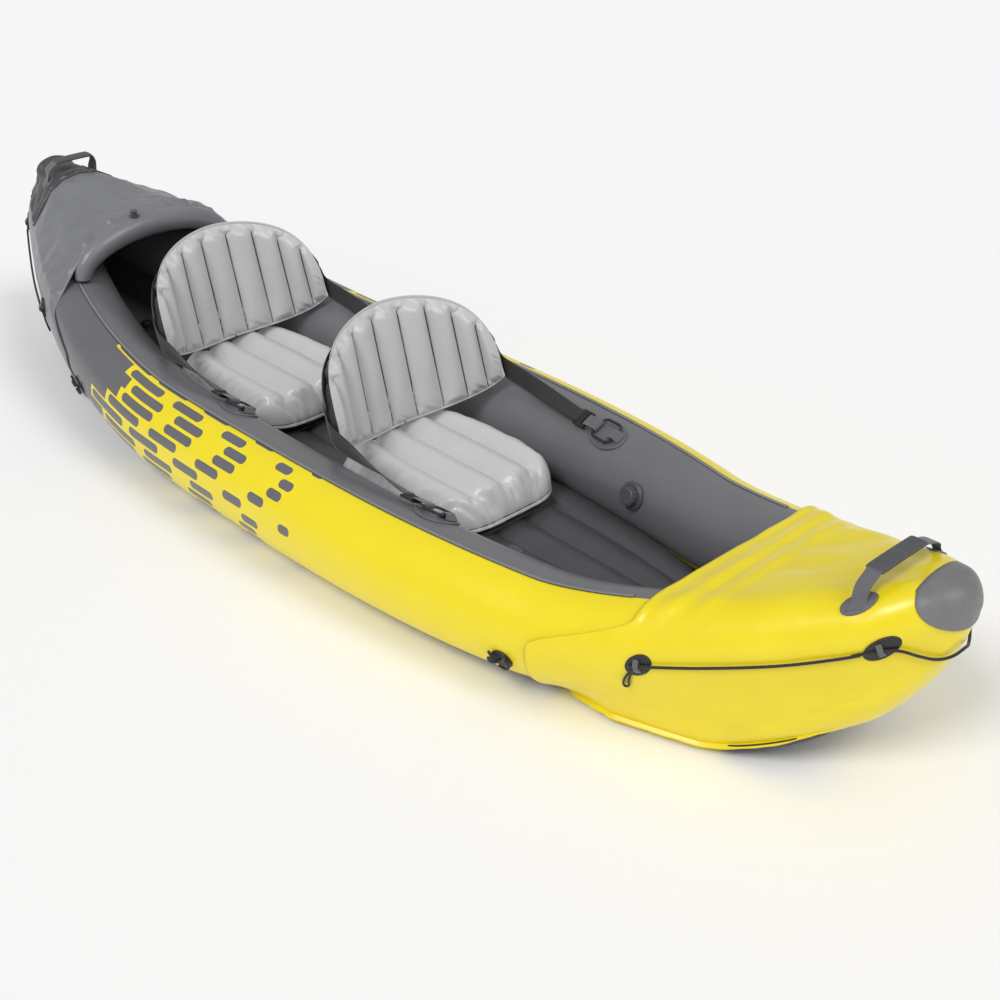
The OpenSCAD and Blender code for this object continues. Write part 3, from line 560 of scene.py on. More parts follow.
def moulded(name, light, shade, roughness, grit_mm):
    material, tree, shader = start(name, Roughness=roughness, IOR=1.5)
    coords = add(tree, "TexCoord").outputs["Object"]
    colour = mixed(tree, speckle(tree, coords, 25, 4.0), light, shade)
    dress(tree, shader, colour, speckle(tree, coords, grit_mm, 2.0), 0.15, 0.0004)
    return material


# Flat woven tape: matt, with a fine cross grain and a slight fuzz at grazing angles
webbing_black = woven("woven_webbing_black", "#2f2f2e", "#232322", 2.4)
webbing_gray = woven("woven_webbing_gray", "#707074", "#606064", 2.4)
# Cloth with a coating on its back: finer and a little shinier than the webbing
fabric_black = woven("coated_fabric_black", "#303032", "#242426", 2.0, roughness=0.6, coordinates="Object", depth=0.3)
# Round braid of slanted strands, which breaks its highlight into beads
cord_black = braided("braided_cord_black", "#2b2620", "#0f0d0b", 2.2)
# Injection moulded from a spark-eroded mould: an even, low gloss
plastic_black = moulded("moulded_nylon_black", "#2a2a2b", "#1f1f20", 0.48, 1.0)
plastic_gray = moulded("moulded_plastic_gray", "#55565a", "#48494d", 0.45, 1.0)
# Pressed rubber: duller, with a blotchy bloom
rubber_gray = moulded("moulded_rubber_gray", "#7f7f81", "#6b6b6d", 0.45, 1.6)
rubber_dark = moulded("moulded_rubber_dark_gray", "#58595d", "#4b4c50", 0.55, 1.2)
print("woven, braided and moulded finishes made")

# %% [markdown]
# ## Side tubes
# Each tube is a long bag of air. A grid is wrapped round it: u runs from stern to bow and v round the tube, starting
# at the outboard side. Where the two tubes meet at the ends they flatten against each other. The far side is made as
# its mirror image. A slow swell of under 2 mm keeps the long tube from looking turned on a lathe.

# %% Side tubes
TUBE_GAP, TUBE_INSET, TUBE_REACH, TUBE_ROWS, TUBE_SIDES = 1, 2, 0.985, 150, 84


def ripple(x, y, z):
    return noise.noise(Vector((x, y, z)))


def tube_place(u, v):
    s = sin(pi / 2 * (2 * u - 1))
    x = s * (pick(s, NOSE_X) + TUBE_REACH * (NOSE_L - TUBE_INSET))
    k, mid = shrink(x, NOSE_L - TUBE_INSET), pick(x, NOSE_MID_Z)
    slack = ripple(x / 170, cos(2 * pi * v) * 1.3, sin(2 * pi * v) * 1.3)
    _, y, z = on_tube(x, 360 * v, -0.8 + 0.8 * slack)
    return x, max(TUBE_GAP / 2, k * y), mid + k * (z - mid)


for side, node in ((1, "tube_port"), (-1, "tube_starboard")):
    bm = gridded(TUBE_ROWS, TUBE_SIDES, tube_place, closed=True)
    bmesh.ops.scale(bm, vec=(1, side, 1), verts=bm.verts)
    tube = made("side_" + node, bm, [vinyl_tube], "pvc_yellow", node)
    print(tube.name, len(tube.data.polygons), "faces")

# %% [markdown]
# ## Weld seams of the tubes
# Two sheets of vinyl overlap by about a centimetre where they are welded. The edge of the upper one casts a thin dark
# line along the top of each tube. That shadow is painted: a narrow dark strip laid on the tube, with its own thickness.

# %% Weld strips
SEAM_W, SEAM_T, SEAM_SHADOW_W, SEAM_FROM, SEAM_TO = 9, 0.9, 2.0, -980, 1000


def tube_strip(angle, width):
    def place(u, v):
        x = lerp(SEAM_FROM, SEAM_TO, u)
        swing = (v - 0.5) * width / tube_r(x) * 180 / pi
        return on_tube(x, angle + swing, SEAM_T * (1 - (2 * v - 1) ** 4) + 0.3)
    return place


made("tube_weld_strips", gridded(120, 4, tube_strip(SEAM_ANGLE + 2.2, SEAM_W), both_sides=True), [vinyl_gray],
     "pvc_gray", wall=0.8, outward=False)
# Painted shadow: a narrow dark strip for the thin line that the edge of the weld casts
made("tube_weld_painted_shadow_lines", gridded(120, 2, tube_strip(SEAM_ANGLE, SEAM_SHADOW_W), both_sides=True), [vinyl_dark_and_painted_shade],
     "pvc_dark", wall=0.6, outward=False)
print("weld strips from", SEAM_FROM, "to", SEAM_TO, "mm")

# %% [markdown]
# ## Bottom skin
# The bottom is a single stretched sheet between the covers. It follows the stretched outline to where that first meets
# the tubes, which is the end of the longest straight step of the walk, and laps onto them, as a welded sheet does.

# %% Bottom skin
BOTTOM_END, BOTTOM_LAP, BOTTOM_SINK = HALF - 710.7, 14, 4.5


def bottom_place(u, v):
    x = lerp(-BOTTOM_END, BOTTOM_END, u)
    walk = walk_skin(x, COVER_OFF)
    low = [p for p in walk[1:] if p[2] <= 0]
    edge = BOTTOM_LAP + max(zip(low, low[1:]), key=lambda step: step[1][3] - step[0][3])[1][3]
    far = edge * abs(1 - 2 * v)
    y, z, degrees = on_walk(walk, far)
    a, sink = radians(degrees), BOTTOM_SINK * smooth((far - edge + BOTTOM_LAP) / BOTTOM_LAP)
    return x, copysign(y - sink * cos(a), 0.5 - v), z - sink * sin(a)


made("bottom_skin", gridded(60, 56, bottom_place), [vinyl_gray], "pvc_gray", "hull_bottom", wall=2.5)
print("bottom skin", round(2 * BOTTOM_END), "mm long")

# %% [markdown]
# ## Air floor
# On the bottom lies the air floor: five lengthwise tubes side by side, which is what makes a soft sheet stiff enough to
# sit on. Its grid is closed round its own section: seven tenths of v cross the top, and the rest go round below.

# %% Air floor
FLOOR_Z, FLOOR_H, FLOOR_TUBES, FLOOR_W, FLOOR_GAP = 3.2, 92, 5, 456, 6
FLOOR_L, FLOOR_REACH, TOP_SHARE, ROUND_SHARE, VALLEY_SHARE = (1010, 1180), 0.998, 0.7, 0.2, 0.62


def floor_end(x):
    return sqrt(max(0, 1 - min(1, abs(x) / pick(x, FLOOR_L)) ** 16))


def floor_half(x):
    fit = tube_y(x) - sqrt(max(0, tube_r(x) ** 2 - (tube_z(x) - FLOOR_Z - VALLEY_SHARE * FLOOR_H) ** 2))
    s = min(1, abs(x) / pick(x, FLOOR_L))
    return min(FLOOR_W / 2, fit - FLOOR_GAP) * sqrt(max(0, 1 - s ** 9))


def floor_place(u, v):
    s = sin(pi / 2 * (2 * u - 1))
    x = s * FLOOR_REACH * pick(s, FLOOR_L)
    w, e, mid = floor_half(x), floor_end(x), FLOOR_Z + FLOOR_H / 2
    if v <= TOP_SHARE:
        y = 1 - 2 * v / TOP_SHARE
        lobe = 2 * (((y + 1) / 2 * FLOOR_TUBES) % 1) - 1
        rim = max(0.0, 1 - (1 - abs(y)) * 14)
        rise = lerp(VALLEY_SHARE + (1 - VALLEY_SHARE) * sqrt(max(0, 1 - lobe * lobe)), 0.0, rim ** 2)
        crease = 1.2 * ripple(x / 45, y * 9, 3)
        return x, w * y, mid + e * (FLOOR_H / 2 * rise + crease * (1 - rim))
    t = (v - TOP_SHARE) / (1 - TOP_SHARE)
    inset = w - min(0.3 * w, FLOOR_H / 4)
    if ROUND_SHARE <= t <= 1 - ROUND_SHARE:
        return x, lerp(-inset, inset, (t - ROUND_SHARE) / (1 - 2 * ROUND_SHARE)), mid - e * FLOOR_H / 2
    k = min(t, 1 - t) / ROUND_SHARE
    y = lerp(w, inset, 1 - sqrt(max(0, 1 - k * k)))
    return x, (-y if t < 0.5 else y), mid - e * FLOOR_H / 2 * k


floor_pad = made("air_floor_pad", gridded(90, 140, floor_place, closed=True), [vinyl_dark_and_painted_shade], "pvc_dark", "air_floor")
print("floor of", FLOOR_TUBES, "tubes,", len(floor_pad.data.polygons), "faces")

# %% [markdown]
# ## Bow and stern covers
# The covers are sheets pulled over both tubes and welded. A grid starts at the open edge and closes at the nose, and
# its columns follow the stretched outline. Real sheets are never quite smooth: there is a hem at the open edge, soft
# folds run along it, and short pinches sit on the seam low on the side. These are moved into the mesh, a few
# millimetres deep, with heights and widths in millimetres. A Solidify modifier gives the sheet its thickness, inwards.

# %% Covers
HALF_COLUMNS, COVER_ROWS, COVER_T = 108, 130, 2.5
BOW_DECK, STERN_DECK, SIDE_EDGE, FLAP_FROM = HALF - 520, 1 - COAMING_X, HALF - 710, HALF - 214
PINCHES = [(905 + 57 * i + 9 * sin(5 * i), 74 + 9 * sin(7 * i)) for i in range(10)]
# Height, place and width of each fold that runs beside the open edge of the bow cover
HEM = ((3.2, 8, 6), (-1.5, 24, 9), (5.5, 56, 15), (-2.5, 84, 12), (3.5, 112, 16), (-1.5, 140, 14))


def cover(name, end, edge_of, folds, material, slot):
    edges = []
    for j in range(HALF_COLUMNS + 1):
        x = edge_of(0)
        for _ in range(3):
            x = edge_of(column_of_skin(end * x, COVER_OFF, j, HALF_COLUMNS)[2])
        edges.append(x)
    tip = pick(end, NOSE_X) + NOSE_L + COVER_OFF

    def place(u, v):
        j = round(v * 2 * HALF_COLUMNS)
        mirror = -1 if j > HALF_COLUMNS else 1
        j = min(j, 2 * HALF_COLUMNS - j)
        x = lerp(edges[j], tip, 0.72 * u + 0.28 * sin(pi / 2 * u))
        y, z, degrees = column_of_skin(end * x, COVER_OFF, j, HALF_COLUMNS)
        a = radians(degrees)
        push = folds(x, mirror * y, z, degrees, x - edges[j]) * smooth((tip - x) / 40) * smooth((degrees + 80) / 40)
        return end * x, mirror * (y + push * cos(a)), z + push * sin(a)

    bm = gridded(COVER_ROWS, 2 * HALF_COLUMNS, place)
    nose = [e for e in bm.edges if e.is_boundary and all(abs(v.co.x) > (tip - 1) * MM for v in e.verts)]
    bmesh.ops.holes_fill(bm, edges=nose, sides=0)
    sheet = made(name + "_cover_sheet", bm, [material], slot, name + "_cover", wall=COVER_T)
    print(sheet.name, len(sheet.data.polygons), "faces")


def ridged(x, y, z):
    # Narrow creases where a smooth noise crosses zero
    return (1 - min(1.0, abs(ripple(x, y, z)) * 2.2)) ** 3


def bow_folds(x, y, z, degrees, from_edge):
    deck = smooth((degrees - 46) / 30)
    hem = sum(high * bump_at(from_edge - at, wide) for high, at, wide in HEM) * (0.8 + 0.4 * ripple(3, y / 140, 0))
    slack = 4.0 * ripple(x / 120, y / 60, z / 90)
    corner = 6 * bump_at(degrees - 66, 14) * bump_at(from_edge - 30, 40)
    dents = sum(bump_at(x - px, 17) * bump_at(z - keel_z(x) - pz - 0.1 * (x - px), 4.5) for px, pz in PINCHES)
    cuff = 2.4 * bump_at(from_edge - 9, 7) * (1 - deck)
    crumple = 0.5 * ripple(x / 26, y / 26, z / 26)
    return deck * hem + slack * (0.25 + 0.75 * deck) + corner + cuff - 3.4 * min(1.0, dents) + crumple


def stern_folds(x, y, z, degrees, from_edge):
    top = smooth((degrees - 14) / 25)
    wander = 1.3 * ripple(x / 90, y / 70, 1.0)
    gather = 10 * (0.5 + 0.5 * sin(y / 6.2 + 2.5 * wander)) ** 1.5 * exp(-(from_edge / 50) ** 2)
    waves = 5 * sin(y / 17 + from_edge / 60 + 3 * wander) * exp(-from_edge / 150)
    creases = 9 * ridged(y / 36, from_edge / 150, 4.0) * exp(-from_edge / 90)
    dent = 20 * bump_at(from_edge - 180, 65) * bump_at(y + 10, 90)
    shoulder = 6 * bump_at(degrees - 41, 8) * smooth((from_edge - 30) / 60)
    slack = 5 * ripple(x / 95, y / 55, z / 60)
    loose = (gather + waves - creases - dent) * top + shoulder + slack * (0.35 + 0.65 * top)
    edge = (2.2 + 3.4 * top) * exp(-max(0, from_edge) / 12)
    under_flap = 1 - smooth((x - FLAP_FROM + 45) / 45)
    return loose * smooth((from_edge - 2) / 22) * under_flap - edge + 0.6 * ripple(x / 24, y / 24, z / 24)


cover("bow", 1, lambda d: lerp(SIDE_EDGE, BOW_DECK, smooth((d - 9) / 40)), bow_folds, vinyl_yellow, "pvc_yellow")
cover("stern", -1, lambda d: lerp(SIDE_EDGE, STERN_DECK, smooth((d - 2) / 26)), stern_folds, vinyl_stern, "pvc_gray")

# %% [markdown]
# ## Seam flanges
# Where the side of a cover is welded to its bottom, a strip of spare sheet stands out along the low seam. It fades out
# at both ends and is cut a little unevenly.

# %% Seam flanges
FLANGE_ANGLE, FLANGE_W, FLANGE_FROM, FLANGE_TO, FLANGE_ROOT = -44, 12, SIDE_EDGE + 14, SIDE_EDGE + 560, 1.5


def flange(end):
    def place(u, v):
        x = end * lerp(FLANGE_FROM, FLANGE_TO, u)
        reach = FLANGE_W * smooth(u / 0.06) * smooth((1 - u) / 0.2) + 1.5 * ripple(x / 30, 2, 0)
        a, r = radians(FLANGE_ANGLE), KEEL_EDGE + COVER_OFF - FLANGE_ROOT + (reach + FLANGE_ROOT) * v
        return x, keel_half(x) + r * cos(a), keel_z(x) + KEEL_EDGE + r * sin(a)
    return place


for end, name, material, slot in ((1, "bow", vinyl_yellow, "pvc_yellow"), (-1, "stern", vinyl_stern, "pvc_gray")):
    made(name + "_seam_flange", gridded(70, 4, flange(end), both_sides=True), [material], slot, wall=2.4, wall_offset=0)
print("seam flanges from", FLANGE_FROM, "to", FLANGE_TO, "mm")

# %% [markdown]
# ## Coaming arch
# The arch is an air tube that holds up the front of the stern cover. It is thickest at the top, and the grid follows
# it from the port tube to the starboard one.

# %% Coaming arch
def arch_place(u, v):
    angle, a = 180 * u, 2 * pi * v
    y, z, r = arch(COAMING_X, angle)
    b = radians(angle)
    out = Vector((0, cos(b) * (arch_top(COAMING_X) - arch_foot(COAMING_X)), tube_y(COAMING_X) * sin(b)))
    out.normalize()
    pucker = 0.7 * ripple(u * 22, cos(a), sin(a))
    return Vector((COAMING_X, y, z)) + (Vector((1, 0, 0)) * sin(a) + out * cos(a)) * (r - 0.4 + pucker)


bm = gridded(90, 36, arch_place, closed=True)
arch_tube = made("coaming_air_tube", bm, [vinyl_stern], "pvc_gray", "coaming_tube")
print("coaming arch", len(arch_tube.data.polygons), "faces")

# %% [markdown]
# ## Nose bumper
# The bumper is an oval dome of rubber over the nose of the bow. Each point of the oval is sent along the boat until it
# meets the stretched skin, found by halving. Two shallow dents are knocks that rubber keeps.

# %% Bumper
OVAL_Z, OVAL_HIGH, OVAL_WIDE, NOSE_SEARCH_X, HALVINGS, SMOOTHINGS = 423, 42, 86, 1478.0, 16, 14
# Depth, then place and width across, then place and width upward
KNOCKS = ((3.4, -34, 15, -20, 11), (2.6, 18, 22, -26, 8))


def nose_at(y, z, off):
    near, far = NOSE_SEARCH_X, NOSE_X[0] + NOSE_L + off - 0.01
    for _ in range(HALVINGS):
        x = (near + far) / 2
        circles = circles_at(x, off)
        inside = all(abs(y) * c + z * s <= max(q[0] * c + q[1] * s + q[2] for q in circles) + off
                     for _, c, s in DIRECTIONS[::3])
        near, far = (x, far) if inside else (near, x)
    return near


def bumper_place(u, v):
    a, r = 2 * pi * v, sin(pi / 2 * u)
    y, z = r * OVAL_WIDE * cos(a), OVAL_Z + r * OVAL_HIGH * sin(a)
    rise = BUMPER_T * (1 - smooth((u - 0.86) / 0.14) * 0.9) - 1.2 * bump_at(u - 0.82, 0.06)
    dents = sum(deep * bump_at(y - ky, wide) * bump_at(z - OVAL_Z - kz, high) for deep, ky, wide, kz, high in KNOCKS)
    return nose_at(y, z, BUMPER_ON + rise) - dents * (1 - u ** 6), y, z


bm = gridded(26, 72, bumper_place)
inner = [v for v in bm.verts if not v.is_boundary]
for _ in range(SMOOTHINGS):
    bmesh.ops.smooth_vert(bm, verts=inner, factor=0.5, use_axis_x=True)
bumper = made("bow_bumper_dome", bm, [rubber_gray], "bumper_rubber", "bow_bumper", wall=2.0)
print("bumper", len(bumper.data.polygons), "faces")

# %% [markdown]
# ## Black strip and stern flap
# Under the bow a thick black strip goes from one edge of the keel round its curve, over the flat and up the other,
# with a slight belly. On top of the stern a flap of the cover's gray lies over the cover, drawn in the dark gray as
# painted shade. Its after end is rolled, and it is creased.

# %% Black strip and stern flap
BLACK_STRIP_FROM, BLACK_STRIP_L, BLACK_STRIP_ON, BLACK_STRIP_REACH, BLACK_STRIP_BELLY = HALF - 400 + 30, 170, 9.2, -42, 7
FLAP_AFT, FLAP_ON, FLAP_ANGLE, FLAP_ROLL = HALF - 24, 8.7, 34, 22


def black_strip_place(u, v):
    x = BLACK_STRIP_FROM + BLACK_STRIP_L * u
    side, share = (1, v) if v <= 0.5 else (-1, 1 - v)
    corner = 1 - 0.1 * abs(2 * u - 1) ** 6
    off = BLACK_STRIP_ON + BLACK_STRIP_BELLY * (1 - (2 * u - 1) ** 2) * (1 - (2 * v - 1) ** 4)
    half, mid = keel_half(x), keel_z(x) + KEEL_EDGE
    if share >= 0.25:
        return x, side * half * (0.5 - share) / 0.25 * corner, mid - KEEL_EDGE - off
    a = radians(lerp(BLACK_STRIP_REACH, -90, share / 0.25))
    return x, side * (half + (KEEL_EDGE + off) * cos(a)) * corner, mid + (KEEL_EDGE + off) * sin(a)


def flap_place(u, v):
    x = -lerp(FLAP_AFT, FLAP_FROM, u)
    side, share = (1, v) if v <= 0.5 else (-1, 1 - v)
    walk = walk_skin(x, FLAP_ON)
    y, z, degrees = on_walk(walk, lerp(far_at(walk, FLAP_ANGLE), walk[-1][3], 2 * share))
    roll = FLAP_ROLL * bump_at(x + FLAP_AFT - 40, 22) * smooth(u / 0.12) * smooth((share - 0.1) / 0.26)
    crease = 3.0 * ridged(x / 70, y / 34, 3.0) + 1.6 * bump_at(u - 0.93, 0.05)
    fold = roll - crease * smooth(u / 0.1) * smooth((1 - u) / 0.1) + 1.5 * ripple(x / 22, y / 30, 2)
    a = radians(degrees)
    return x, side * (y + fold * cos(a)), z + fold * sin(a)


# A thick black strip under the bow, wrapped round the keel
made("bow_black_strip", gridded(24, 48, black_strip_place), [vinyl_black], "pvc_black", "bow_wear_patch", wall=3, wall_offset=1)
# Painted shade: the flap is drawn in the dark gray, darker than the gray of the stern cover it matches
flap = made("stern_top_flap", gridded(40, 80, flap_place), [vinyl_dark_and_painted_shade], "pvc_dark", "stern_flap", wall=2.2)
spread_of(flap_place)

# %% [markdown]
# ## Round patches
# Handles, lines and rings are held by patches of thick vinyl welded to the skin. A patch is a disc that bends with the
# surface under it. Its grid runs from the middle to the rim and once round, and the rim is rounded down to the skin.

# %% Patches
PATCH_ON, PATCH_T, PATCH_SINK, RIM_SHARE = 6.7, 3, 1.2, 0.8
HANDLE_X, HANDLE_ANGLE, HANDLE_R = HALF - 154, 56, 26
LINE_DISCS, KNOT_AT, DISC_R = ((480, 1), (95, -9)), (770, -20), 24
RING_ANGLE, RING_AHEAD, RING_PATCH_L, RING_PATCH_W = 117, 414, 110, 84
SEAT_X, SEAT_PITCH = 58, 688
SEATS = (("front", SEAT_X), ("rear", SEAT_X - SEAT_PITCH))


def skin_point(x, degrees):
    def point(along, across, off):
        walk = walk_skin(x + along, off)
        y, z, _ = on_walk(walk, far_at(walk, degrees) + across)
        return Vector((x + along, y, z))
    return point


def tube_point(x, degrees):
    def point(along, across, off):
        return Vector(on_tube(x + along, degrees + across / tube_r(x) * 180 / pi, off))
    return point


def knot_point(end):
    return tube_point(end * (HALF - KNOT_AT[0]), KNOT_AT[1])


def frame_at(point, off):
    u = (point(2, 0, off) - point(-2, 0, off)).normalized()
    n = (point(0, 2, off) - point(0, -2, off)).cross(u).normalized()
    return u, n.cross(u), n, point(0, 0, off)


def patch(bm, point, length, width, off, thick, sides=48):
    def place(u, v):
        a, r, h = 2 * pi * v, u / RIM_SHARE * 0.97, off + thick
        if u > RIM_SHARE:
            t = (u - RIM_SHARE) / (1 - RIM_SHARE)
            r, h = 0.97 + 0.03 * sin(pi / 2 * t), off + thick * (1 - t)
        h -= 0.6 * bump_at(r - 0.86, 0.035)
        return point(r * length / 2 * cos(a), r * width / 2 * sin(a), h)
    grid_onto(bm, 16, sides, place)


def skin_disc(bm, x, degrees, radius):
    patch(bm, skin_point(x, degrees), 2 * radius, 2 * radius, PATCH_ON - PATCH_SINK, PATCH_T + PATCH_SINK)


handle_bm, line_bm, ring_bm = bmesh.new(), bmesh.new(), bmesh.new()
for end in (1, -1):
    skin_disc(handle_bm, end * HANDLE_X, HANDLE_ANGLE, HANDLE_R)
    for from_end, degrees in LINE_DISCS:
        skin_disc(line_bm, end * (HALF - from_end), degrees, DISC_R)
    patch(line_bm, knot_point(end), 2 * DISC_R, 2 * DISC_R, 0, PATCH_T + 0.5)
for _, x0 in SEATS:
    patch(ring_bm, tube_point(x0 + RING_AHEAD, RING_ANGLE), RING_PATCH_L, RING_PATCH_W, 0.2, 3.4, sides=64)
for name, bm, material, slot, node in (("handle_weld_patches", handle_bm, vinyl_patch, "pvc_dark", "handle_patches"),
                                       ("line_weld_discs", line_bm, vinyl_black, "pvc_black", "line_discs"),
                                       ("ring_weld_patches", ring_bm, vinyl_patch, "pvc_dark", "ring_patches")):
    mirrored(bm)
    print(name, len(made(name, bm, [material], slot, node).data.polygons), "faces")

# %% [markdown]
# ## Grab lines
# A braided cord of 6 mm goes round each end through the loops on the discs. It lies against the skin all the way and is
# held at the discs, so it follows the same route as the CAD solid. Its doubled end hangs below the hindmost disc.

# %% Grab lines
LINE_ON, LINE_D, STEM_SPOTS, STEM_L, NEIGHBOURS = 14.2, 6, (64, 48, 33), 118, 9
# Distance from the end of the boat and direction on the skin
ROUTE = ((494, 1), (466, 1), (360, -2), (230, -7), (110, -9), (80, -9))
TURN = ((18, -42), (9, -70), (6, -90))
TIED = ((0, 0), (-9, -16), (-16, -34), (-18, -50), (-25, -54), (-28, -46), (-23, -30), (-13, -14), (-4, -3))


def line_spot(end, from_end, degrees):
    x = end * (HALF - from_end)
    walk = walk_skin(x, LINE_ON)
    y, z, _ = on_walk(walk, far_at(walk, degrees))
    return Vector((x, 0 if degrees == -90 else y, z))


def level_spot(end, from_end, z):
    walk = walk_skin(end * (HALF - from_end), LINE_ON)
    y = min((on_walk(walk, walk[-1][3] * i / 200) for i in range(20, 180)), key=lambda p: abs(p[1] - z))[0]
    return Vector((end * (HALF - from_end), y, z))


def grab_path(end):
    half, turn = ([line_spot(end, *spot) for spot in spots] for spots in (ROUTE, TURN))
    near, far = ROUTE[-1][0], TURN[0][0]
    low, high = half[-1].z, turn[0].z
    half += [level_spot(end, at, lerp(low, high, (near - at) / (near - far))) for at in STEM_SPOTS] + turn
    path = curve_through(half + [Vector((p.x, -p.y, p.z)) for p in reversed(half[:-1])], 8)
    # A cord takes no sharp turn, so the points round the stem are averaged with their neighbours
    soft = {i: path[i - NEIGHBOURS:i + NEIGHBOURS + 1] for i, p in enumerate(path) if abs(p.x) > HALF - STEM_L}
    return [sum(soft[i], Vector()) / len(soft[i]) if i in soft else p for i, p in enumerate(path)]


def tied_end(end):
    at = skin_point(end * (HALF - LINE_DISCS[0][0]), LINE_DISCS[0][1])
    return curve_through([at(end * along, down, LINE_ON - (3 if down else 0)) for along, down in TIED], 6)


for end, name in ((1, "bow"), (-1, "stern")):
    bm, path = bmesh.new(), grab_path(end)
    round_cord(bm, path, LINE_D / 2)
    rope = made(name + "_grab_cord", bm, [cord_black], "rope", name + "_grab_line")

    bm = bmesh.new()
    for side in (1, -1):
        round_cord(bm, [(p.x, side * p.y, p.z) for p in tied_end(end)], LINE_D / 2.4, 8)
    loops = made(name + "_cord_ends", bm, [cord_black], "rope")
    path_length(path) * MM
    [tuple(p * MM) for p in path]
    print(name, "grab line", round(path_length(path)), "mm long")

# %% [markdown]
# ## Line knots
# Low on each tube a short line is tied in a bow on its disc. The bow is a figure of eight that crosses over itself, and
# two tails hang from the crossing.

# %% Bow knots
KNOT_LIFT, KNOT_L, KNOT_W, KNOT_CROSSING, KNOT_STEPS = 1 + PATCH_T + LINE_D, 24, 9, 3.3, 40
bm = bmesh.new()
for end in (1, -1):
    u, w, n, o = frame_at(knot_point(end), KNOT_LIFT)
    turns = [radians(6 + 348 * i / KNOT_STEPS) for i in range(KNOT_STEPS + 1)]
    bow = [o + u * KNOT_L * sin(t) + w * KNOT_W * sin(2 * t) + n * (KNOT_CROSSING * cos(t)) for t in turns]
    round_cord(bm, bow, LINE_D / 2, hint=n)
    for s in (-1, 1):
        tail = [o + u * s * 6 - w * 4, o + u * s * 16 - w * 16 - n * 1.5, o + u * (s * 17.5) - w * 26 - n * 1.5]
        round_cord(bm, curve_through(tail, 6), LINE_D / 2, hint=n)
mirrored(bm)
knots = made("line_bow_knots", bm, [cord_black], "rope", "line_knots")
print("bow knots", len(knots.data.polygons), "faces")

# %% [markdown]
# ## Carry handles
# A strip of gray webbing rises from two round patches and passes through a ribbed sleeve. The strip keeps its width
# and turns smoothly, and the sleeve is a rounded bar with grooves across it. The sleeve slides on its strap, so it
# rests nearer to one foot. It rides on the handle's own body, and the strap is left on no body.

# %% Handles
GRIP_W, GRIP_T, WEB_W, STRAP_T = 36, 11, 30, 2
ON_PATCH = PATCH_ON + PATCH_T


def handle(name, x, rise, grip_l, slid):
    foot = skin_point(x, HANDLE_ANGLE)
    f, lip = foot(0, 0, ON_PATCH + 1.5), foot(0, -HANDLE_R * 0.7, ON_PATCH + 1.2)
    top = f.z + rise

    def leg(side):
        g = grip_l / 2 + side * slid
        rising = [lip, f, Vector((x, lerp(f.y, g + 3, 0.4) + 6, lerp(f.z, top, 0.55))), Vector((x, g + 6, top - 6)),
                  Vector((x, g - 4, top)), Vector((x, g / 2, top))]
        return [Vector((p.x, side * p.y, p.z)) for p in rising]

    path = curve_through(leg(1) + [Vector((x, 0, top))] + leg(-1)[::-1], 6)
    slant = (foot(2, 0, PATCH_ON) - foot(-2, 0, PATCH_ON)).normalized()
    across = []
    for p in path:
        low = Vector((slant.x, copysign(1, p.y) * slant.y, slant.z))
        across.append(low.lerp(Vector((1, 0, 0)), smooth((p.z - f.z - 4) / 30)))
    bm = bmesh.new()
    flat_band(bm, path, across, [WEB_W] * len(path), STRAP_T, 8)
    strap = made(name + "_handle_webbing", bm, [webbing_gray], "webbing_gray", name + "_handle_strap", body=None)
    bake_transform(strap)

    def sleeve(u, v):
        c, s = cos(2 * pi * v), sin(2 * pi * v)
        end = 1 - 0.25 * abs(2 * u - 1) ** 24
        groove = 0.1 * bump_at(abs(c) - 0.72, 0.07) + 0.05 * sin(2 * pi * u * 14) ** 6
        wide = GRIP_W / 2 * copysign(abs(c) ** 0.6, c)
        high = GRIP_T / 2 * copysign(abs(s) ** 0.6, s) * end * (1 - groove)
        sag = 1.2 * (2 * u - 1) ** 2
        return x + wide * (0.94 + 0.06 * end), slid + grip_l * (u - 0.5), top + high - sag

    made(name + "_handle_sleeve", gridded(120, 48, sleeve, closed=True), [rubber_dark], "grip_rubber",
         name + "_handle_grip", name + "_handle")
    print(name, "handle, grip at", round(top), "mm")


handle("bow", HANDLE_X, 50, 138, -16)
handle("stern", -HANDLE_X, 46, 110, 12)

# %% [markdown]
# ## Blowing up the seats
# A seat is two flat sheets welded together round the rim and along lines, and then blown up. So it is made that way:
# two flat grids are joined where the welds are, and the cloth solver blows them up with pressure and no gravity. The
# rim has to shorten as the tubes fill, which is what makes it scallop and pucker. The blown-up pad is then laid onto
# the form of the seat. Each pad is solved once and serves both seats.

# %% Cloth solver for air pads
FRAMES = 25
SHEETS_APART, WELD_M = 0.6, 1e-4
AIR = dict(quality=6, mass=0.01, air_damping=5, tension_stiffness=15, compression_stiffness=15, shear_stiffness=5,
           bending_stiffness=0.05, tension_damping=5, compression_damping=5, bending_damping=0.5, use_pressure=True,
           uniform_pressure_force=60)


